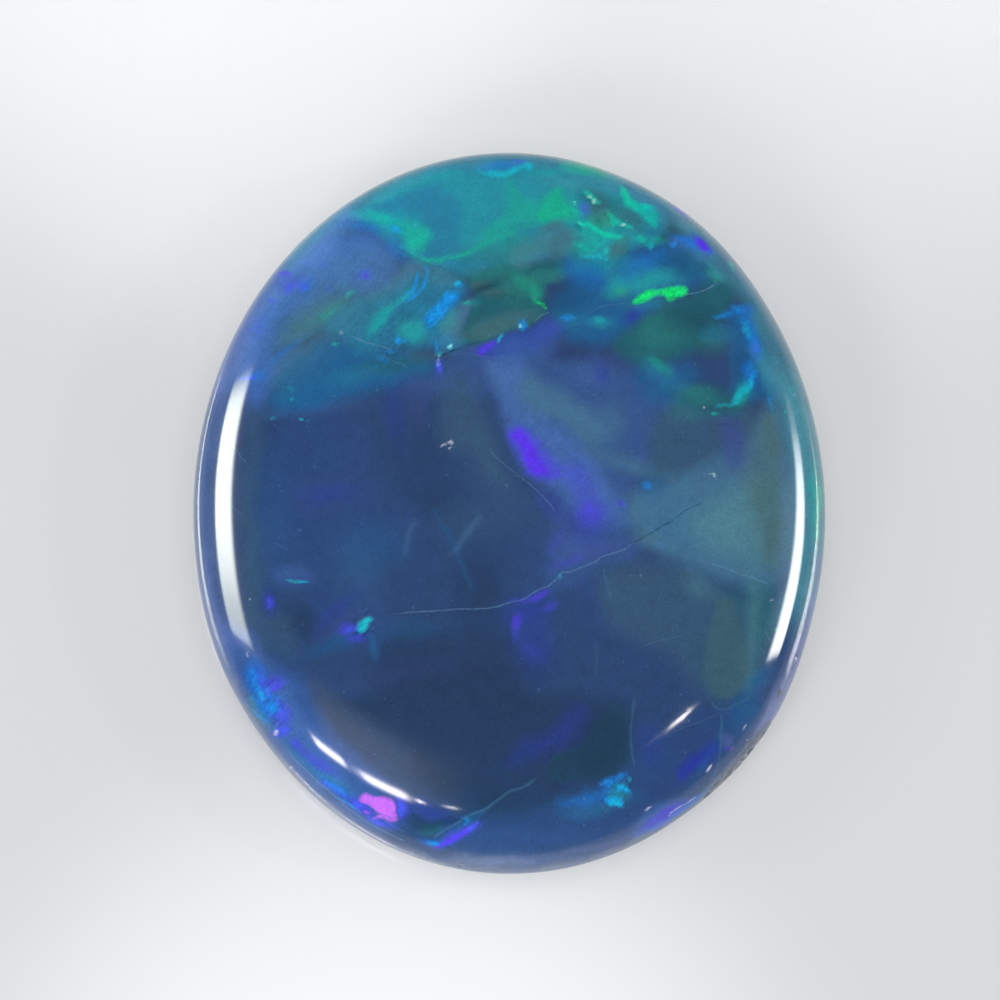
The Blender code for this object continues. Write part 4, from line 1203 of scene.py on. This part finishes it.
def stone_material(looks):
    """Polished opal: layers of colour by their painted cover, hair cracks and painted reflection lines,
    dust, painted shade in the side pits and a ground back.
    """
    material = bpy.data.materials.new("black_opal_play_of_colour")
    tree = NodeTree(material)
    place = tree.node("ShaderNodeVectorMath", {
        0: tree.node("ShaderNodeTexCoord").outputs["Object"], "Scale": 1 / MM},
        operation="SCALE").outputs[0]
    height = tree.node("ShaderNodeSeparateXYZ", {0: place}).outputs[2]
    cloud = tree.noise(place, *CLOUD)
    grain = tree.noise(place, *GRAIN)
    colour = lay_colours(tree, looks["body"], looks, cloud, grain)
    colour = tree.mix(dust_cover(tree, place), colour, looks["dust"])
    # Painted shade in the side pits, and the darker strip along the lower right edge, made blotchy by the
    # grain
    blotchy = tree.spread(grain, -0.05, 1.55)
    grime = tree.math("MULTIPLY", tree.attribute("grime"), blotchy, clamp=True)
    colour = tree.mix(grime, colour, looks["grime"])
    # Plain potch under the girdle, with colour showing through it in places
    bare = tree.spread(cloud, -0.1, 1.5)
    bare = tree.math("MULTIPLY", tree.range(height, POTCH_TOP, POTCH_BOTTOM), bare, clamp=True)
    colour = tree.mix(bare, colour, looks["potch"])
    # The back is only ground, and the foot is polished less and less towards it
    tree.end_with({
        "Base Color": tree.shaded(colour, brightness_noise(tree, place)),
        "Roughness": tree.range(height, *GROUND_UP_TO, GROUND, POLISHED),
        "IOR": OPAL_IOR,
    })
    return material


def colour_of(name, description, red, green, blue, convert=opal_colour):
    return bpy.props.FloatVectorProperty(
        name=name, description=description, default=convert(red, green, blue),
        subtype="COLOR", size=3, min=0.0, max=1.0)


class OpalStoneSettings(bpy.types.PropertyGroup):
    """Colours of the opal, and of its painted shade, glints and reflections."""

    body: colour_of("Body", "Dark body of the stone between the colours", 48, 73, 114)
    night: colour_of("Night", "Deepest body at the lower middle", 42, 62, 95)
    navy: colour_of("Navy", "Dark blue body at the left and lower edge", 48, 75, 123)
    denim: colour_of("Denim", "Lighter blue body across the middle", 58, 88, 142)
    steel: colour_of("Steel", "Grey-blue body", 58, 88, 118)
    haze: colour_of("Haze", "Pale grey-blue haze", 72, 115, 146)
    slate: colour_of("Slate", "Pale violet-blue haze across the middle", 72, 107, 172)
    plum: colour_of("Plum", "Greyish violet patches", 64, 78, 142)
    indigo: colour_of("Indigo", "Dark violet-blue patches", 47, 60, 160)
    cobalt: colour_of("Cobalt", "Soft strong blue near the edges", 66, 106, 179)
    sky: colour_of("Sky", "Pale violet-blue along the upper left edge", 91, 136, 206)
    ocean: colour_of("Ocean", "Blue veil round the blue-green", 38, 98, 148)
    moss: colour_of("Moss", "Dark green windows into the stone", 40, 98, 110)
    lagoon: colour_of("Lagoon", "Blue-green veil of the top", 45, 128, 160)
    pine: colour_of("Pine", "Dark blue-green in the windows", 48, 128, 122)
    sea: colour_of("Sea", "Green veil in the blue-green", 42, 165, 165)
    mist: colour_of("Mist", "Grey-green haze at the right", 86, 137, 146)
    olive: colour_of("Olive", "Brownish windows into the stone", 73, 101, 105)
    shade: colour_of("Shade", "Deepest parts of the windows", 32, 56, 78)
    # Pale blue of the edge, partly a painted sheen of the polish
    rim_blue: colour_of("Rim Blue", "Pale blue of the left and lower edge", 98, 124, 178)
    rim_teal: colour_of("Rim Teal", "Pale blue-green of the right edge", 84, 154, 172)
    rim_grey: colour_of("Rim Grey", "Grey of the lower wall", 118, 132, 156)
    lavender: colour_of("Lavender", "Pale violet of the wall at the right and left", 116, 130, 198)
    green_glow: colour_of("Green Glow", "Soft green glow at the top", 26, 182, 138)
    # Soft green-blue glow, and a soft painted highlight on the right edge
    aqua_glow: colour_of("Aqua Glow", "Soft green-blue glow", 6, 172, 168)
    azure_glow: colour_of("Azure Glow", "Soft strong blue glow", 34, 118, 214)
    violet_glow: colour_of("Violet Glow", "Soft violet glow", 74, 72, 214)
    azure: colour_of("Azure", "Bright blue flashes", 30, 150, 232)
    cyan: colour_of("Cyan", "Blue-green flashes", 10, 190, 208)
    # Green-blue flashes, and a painted highlight line on the right edge
    aqua: colour_of("Aqua", "Green-blue flashes", 0, 200, 172)
    green: colour_of("Green", "Vivid green flashes", 0, 230, 118)
    blue_flash: colour_of("Blue Flash", "Violet-blue flashes", 72, 96, 240)
    violet: colour_of("Violet", "Violet flashes", 92, 55, 248)
    magenta: colour_of("Magenta", "Pink-violet flash at the lower edge", 188, 104, 255)
    spark: colour_of("Spark", "Smallest and brightest points", 200, 250, 250)
    # Pale colour of tiny chips in the polish and of the painted glints at the lower right
    nick: colour_of("Nick", "Tiny chips in the polish", 208, 210, 238)
    dust: colour_of("Dust", "Fine specks and brushed streaks", 120, 150, 185)
    potch: colour_of("Potch", "Plain grey opal of the ground back and foot", 96, 108, 128)
    # Colour of the painted shade in the side pits and of the darker strip along the lower right edge
    grime: colour_of("Grime", "Dark grime in the pits of the side", 88, 98, 106)
    # Pale colour of healed hair lines and of the painted reflection lines
    pale_crack_and_reflection: colour_of("Healed Crack", "Pale hair lines", 95, 138, 172)
    crack_soft: colour_of("Soft Crack", "Wide faint lines", 70, 118, 150)
    crack_dark: colour_of("Open Crack", "Dark hair lines", 28, 45, 60)


def make_stone(settings):
    mesh = build_stone_mesh()
    paint_stone(mesh, carve_pits(mesh))
    looks = {name: tuple(getattr(settings, name)) for name in OpalStoneSettings.__annotations__}
    mesh.materials.append(stone_material(looks))
    stone = bpy.data.objects.new("black_opal_polished", mesh)
    bpy.context.scene.collection.objects.link(stone)
    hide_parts("black_opal")
    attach(stone, "root")


def brightness(name, description, default):
    return bpy.props.FloatProperty(
        name=name, description=description, default=default, min=0.0, soft_max=50.0)


class OpalStageSettings(bpy.types.PropertyGroup):
    """Table, lights and camera."""

    table: colour_of("Table", "Pale glossy table", 168, 170, 171, display_colour)
    table_glow: brightness("Table Glow", "Light through the table from below", 0.38)
    room_light: brightness("Room Light", "Pale room all round", 0.25)
    top_light: brightness("Top Light", "Large softbox overhead", 3.8)
    left_light: brightness("Left Light", "Softbox at the left", 4.5)
    right_light: brightness("Right Light", "Softbox at the right", 3.4)
    front_light: brightness("Front Light", "Softbox and tube in front", 10.0)


TABLE_SIZE = 3000.0
TABLE_ROUGHNESS = 0.12
TABLE_IOR = 2.1
TABLE_GLOW_COLOUR = (0.97, 0.99, 1.0)
# Speckles in the table, as (grains to a metre, detail), and how dark and bright they are
TABLE_SPECKLE = (900.0, 2.0)
TABLE_SHADES = (0.99, 1.01)


def make_table(settings):
    material = bpy.data.materials.new("pale_gloss_table")
    tree = NodeTree(material)
    speckle = tree.noise(tree.node("ShaderNodeTexCoord").outputs["Object"], *TABLE_SPECKLE)
    tree.end_with({
        "Base Color": tree.shaded(tuple(settings.table), tree.spread(speckle, *TABLE_SHADES)),
        "Roughness": TABLE_ROUGHNESS,
        "IOR": TABLE_IOR,
        "Emission Color": TABLE_GLOW_COLOUR,
        "Emission Strength": settings.table_glow,
    })
    mesh = bpy.data.meshes.new("table")
    body = bmesh.new()
    bmesh.ops.create_grid(body, x_segments=8, y_segments=8, size=TABLE_SIZE / 2 * MM)
    body.to_mesh(mesh)
    body.free()
    mesh.materials.append(material)
    table = bpy.data.objects.new("table", mesh)
    bpy.context.scene.collection.objects.link(table)


# How a lamp's shine changes from its start to its end, as (place, share)
EVEN_FADE = ((0.0, 0.0), (0.1, 1.0), (0.9, 1.0), (1.0, 0.0))
SOFT_FADE = ((0.0, 0.0), (0.3, 1.0), (0.7, 1.0), (1.0, 0.0))
# How far in from its long edges a lamp's shine is full, for its thickness, where it is softest
SOFTEST = 0.5
WHITE = (1.0, 1.0, 1.0)
FAINT_PINK = (1.0, 0.93, 1.0)
PINK = (1.0, 0.9, 1.0)


class Lamp(NamedTuple):
    """A long lamp: the directions of its two ends, as (azimuth, elevation), and its thickness in degrees.

    Its shine is what the polish reflects, and its glow is what lights the table and the colours. The
    shine fades along the lamp by (place, share) steps from its start to its end, and across it by soft.
    Its narrow values are the shares of the thickness that are lost at its two ends.
    """

    name: str
    start: tuple
    end: tuple
    thick: float
    shine: float
    glow: float
    fade: tuple = EVEN_FADE
    soft: float = 0.15
    tint: tuple = WHITE
    narrow: tuple = (0.0, 0.0)


LAMP_DISTANCE = 160.0


def direction_to(azimuth, elevation):
    """A direction by degrees round from the right and up from the table."""
    azimuth, elevation = math.radians(azimuth), math.radians(elevation)
    level = math.cos(elevation)
    return Vector((level * math.cos(azimuth), level * math.sin(azimuth), math.sin(elevation)))


def hang_light(name, light, turn, shines):
    """Puts a light in the scene that is seen only in reflections, or only by what it lights."""
    holder = bpy.data.objects.new(name, light)
    holder.matrix_world = turn
    holder.visible_diffuse = not shines
    holder.visible_glossy = shines
    bpy.context.scene.collection.objects.link(holder)


def fade_shine(light, lamp):
    """Lets a lamp's face be dimmer towards its ends and its long edges."""
    tree = NodeTree(light, "Emission")
    face = tree.node("ShaderNodeNewGeometry").outputs["Parametric"]
    along, across, _ = tree.node("ShaderNodeSeparateXYZ", {0: face}).outputs
    ramp = tree.node("ShaderNodeValToRGB", {0: along})
    stops = ramp.color_ramp.elements
    while len(stops) < len(lamp.fade):
        stops.new(0.5)
    for stop, (place, share) in zip(stops, lamp.fade):
        stop.position = place
        stop.color = (share, share, share, 1.0)
    to_edge = tree.math("PINGPONG", across, 0.5)
    inset = tree.node("ShaderNodeMapRange", {
        "Value": along, "To Min": lamp.narrow[0] / 2, "To Max": lamp.narrow[1] / 2}).outputs[0]
    edge = tree.range(to_edge, inset, tree.math("ADD", inset, lamp.soft))
    tree.end_with({"Strength": tree.math("MULTIPLY", ramp.outputs[0], edge)})


def make_lamp(lamp):
    start, end = (direction_to(*ends) * LAMP_DISTANCE for ends in (lamp.start, lamp.end))
    middle = (start + end) / 2
    outward = middle.normalized()
    along = (end - start).normalized()
    turn = Matrix((along, outward.cross(along), outward)).transposed().to_4x4()
    turn = Matrix.Translation(middle * MM) @ turn
    for part, radiance in (("shine", lamp.shine), ("glow", lamp.glow)):
        if radiance == 0:
            continue
        light = bpy.data.lights.new(f"{lamp.name}_{part}", "AREA")
        light.shape = "RECTANGLE"
        light.size = (end - start).length * MM
        light.size_y = 2 * math.tan(math.radians(lamp.thick) / 2) * middle.length * MM
        light.energy = radiance * math.pi * light.size * light.size_y
        light.color = lamp.tint
        if part == "shine":
            fade_shine(light, lamp)
        hang_light(light.name, light, turn, part == "shine")


POOL_HEIGHT = 60.0
POOL_LAMP_RADIUS = 1.0


def make_pool(name, right, up, radius, brightness):
    """Hangs a soft spot straight above the table that brightens a round pool of it."""
    light = bpy.data.lights.new(name, "SPOT")
    light.spot_size = 2 * math.atan(radius / POOL_HEIGHT)
    light.spot_blend = 1.0
    light.shadow_soft_size = POOL_LAMP_RADIUS * MM
    light.energy = brightness * (2 * math.pi * POOL_HEIGHT * MM) ** 2
    hang_light(name, light, Matrix.Translation(Vector((right, up, POOL_HEIGHT)) * MM), False)


# Soft pools of light on the table, as (right, up, radius, brightness)
POOLS = {
    "far_pool": (-5.0, 17.1, 14.0, 0.3),
    "near_pool": (-2.1, -11.4, 8.7, 0.74),
    "left_pool": (-5.3, 10.0, 7.6, 0.52),
    "right_pool": (9.1, 17.9, 16.1, 0.78),
}
ROOM_COLOUR = (0.96, 0.98, 1.0, 1.0)


def all_lamps(settings):
    left, right = settings.left_light, settings.right_light
    front, top = settings.front_light, settings.top_light
    return (
        Lamp("left_softbox", (149, 42.3), (196, 44.6), 17.4, left * 6.8, 0, (
            (0.0, 0.0), (0.05, 0.02), (0.1, 0.4), (0.15, 0.8), (0.24, 1.0), (0.56, 0.97), (0.7, 0.72),
            (0.8, 0.5), (0.94, 0.37), (0.98, 0.32), (1.0, 0.0)), 0.13, (0.95, 1.0, 0.88), (0.3, 0.15)),
        Lamp("left_card", (152, 42), (198, 44), 30, 1.4, 0, (
            (0.0, 0.0), (0.3, 1.0), (0.7, 1.0), (1.0, 0.8)), SOFTEST),
        Lamp("right_softbox", (345, 37), (23, 34), 14.6, right * 8.6, 0, (
            (0.0, 0.4), (0.04, 0.95), (0.1, 1.0), (0.5, 1.0), (0.64, 0.84), (0.76, 0.5), (0.86, 0.12),
            (1.0, 0.03)), 0.24, narrow=(0.0, 0.4)),
        Lamp("right_card", (342, 40), (18, 44), 21, 1.2, 0, SOFT_FADE, SOFTEST),
        Lamp("front_tube_left", (218.0, 52.4), (227.4, 56.0), 4.4, front * 3.9, 0, (
            (0.0, 0.0), (0.15, 0.9), (0.85, 1.0), (1.0, 0.0)), SOFTEST, FAINT_PINK),
        Lamp("front_halo_left", (216.5, 52.0), (228.6, 56.4), 8.0, 2.7, 0, SOFT_FADE, SOFTEST, PINK),
        Lamp("front_tube_right", (228.3, 55.8), (245.5, 59.3), 4.6, front * 3.9, 0, (
            (0.0, 0.0), (0.08, 0.14), (0.16, 0.1), (0.3, 1.0), (0.86, 1.0), (1.0, 0.0)),
            SOFTEST, FAINT_PINK),
        Lamp("front_halo_right", (228.0, 55.6), (247.5, 59.8), 8.0, 2.7, 0, SOFT_FADE, SOFTEST, PINK),
        Lamp("front_glint_left", (246.3, 59.3), (249.3, 60.0), 1.6, front * 6, 0, (
            (0.0, 0.0), (0.5, 1.0), (1.0, 0.0)), SOFTEST),
        Lamp("front_glint_right", (253.5, 61.0), (259.0, 61.7), 1.0, front * 4, 0, (
            (0.0, 0.0), (0.6, 1.0), (1.0, 0.0)), SOFTEST),
        Lamp("front_card", (212, 60), (262, 66), 18, 1.5, 0, (
            (0.0, 0.0), (0.15, 0.9), (0.4, 1.0), (0.65, 0.8), (1.0, 0.0)), 0.36, (1.0, 0.95, 0.82)),
        Lamp("front_right_lamp", (314.5, 65.5), (331, 62.5), 0.28, front * 20, 0, (
            (0.0, 0.0), (0.08, 0.02), (0.32, 0.04), (0.48, 1.0), (0.66, 1.0), (0.82, 0.06), (0.93, 0.0),
            (1.0, 0.04)), SOFTEST, (0.98, 0.98, 1.0)),
        Lamp("left_glow", (159, 37), (186, 37), 12, 0, left),
        Lamp("right_glow", (358, 38), (2, 38), 4, 0, right * 26),
        Lamp("front_softbox", (222, 42), (240, 42), 14, 0, front),
        Lamp("top_softbox", (180, 75), (0, 75), 30, 0, top),
    )


def make_lights(settings):
    for lamp in all_lamps(settings):
        make_lamp(lamp)
    for name, pool in POOLS.items():
        make_pool(name, *pool)
    world = bpy.data.worlds.new("pale_room")
    NodeTree(world, "Background").end_with({"Color": ROOM_COLOUR, "Strength": settings.room_light})
    bpy.context.scene.world = world
    bpy.context.scene.view_settings.view_transform = "Standard"


def make_camera():
    camera = bpy.data.cameras.new("camera")
    camera.sensor_width = SENSOR_WIDTH
    camera.lens = SENSOR_WIDTH * CAMERA_DISTANCE / FRAME_WIDTH
    camera.clip_start = NEAREST_SEEN * MM
    camera.clip_end = FURTHEST_SEEN * MM
    holder = bpy.data.objects.new("camera", camera)
    aim = (
        RIGHT_OF_VIEW * (OUTLINE_MIDDLE[0] + FRAME_MIDDLE[0])
        + UP_OF_VIEW * (OUTLINE_MIDDLE[1] + FRAME_MIDDLE[1])
    )
    turn = Matrix((RIGHT_OF_VIEW, UP_OF_VIEW, BACK_OF_VIEW)).transposed().to_4x4()
    holder.matrix_world = Matrix.Translation((aim + BACK_OF_VIEW * CAMERA_DISTANCE) * MM) @ turn
    bpy.context.scene.collection.objects.link(holder)
    bpy.context.scene.camera = holder


class OPAL_OT_make_stone(bpy.types.Operator):
    """Make the polished opal with its play of colour"""

    bl_idname = "opal.make_stone"
    bl_label = "Make Stone"

    def execute(self, context):
        make_stone(context.scene.opal_stone)
        return {"FINISHED"}


class OPAL_OT_make_stage(bpy.types.Operator):
    """Make the pale table, the lights and the camera"""

    bl_idname = "opal.make_stage"
    bl_label = "Make Stage"

    def execute(self, context):
        make_table(context.scene.opal_stage)
        make_lights(context.scene.opal_stage)
        make_camera()
        return {"FINISHED"}


class OPAL_PT_panel(bpy.types.Panel):
    """Lists what can be made"""

    bl_label = "Black Opal"
    bl_idname = "OPAL_PT_panel"
    bl_space_type = "VIEW_3D"
    bl_region_type = "UI"
    bl_category = "Opal"

    def draw(self, context):
        layout = self.layout
        for settings, operator in (
            (context.scene.opal_stone, OPAL_OT_make_stone),
            (context.scene.opal_stage, OPAL_OT_make_stage),
        ):
            box = layout.box()
            for name in settings.__annotations__:
                box.prop(settings, name)
            box.operator(operator.bl_idname)


CLASSES = (
    OpalStoneSettings,
    OpalStageSettings,
    OPAL_OT_make_stone,
    OPAL_OT_make_stage,
    OPAL_PT_panel,
)


def register():
    for cls in CLASSES:
        bpy.utils.register_class(cls)
    bpy.types.Scene.opal_stone = bpy.props.PointerProperty(type=OpalStoneSettings)
    bpy.types.Scene.opal_stage = bpy.props.PointerProperty(type=OpalStageSettings)


def unregister():
    del bpy.types.Scene.opal_stage
    del bpy.types.Scene.opal_stone
    for cls in reversed(CLASSES):
        bpy.utils.unregister_class(cls)


def main():
    register()
    bpy.ops.opal.make_stone()
    bpy.ops.opal.make_stage()


if __name__ == "__main__":
    main()
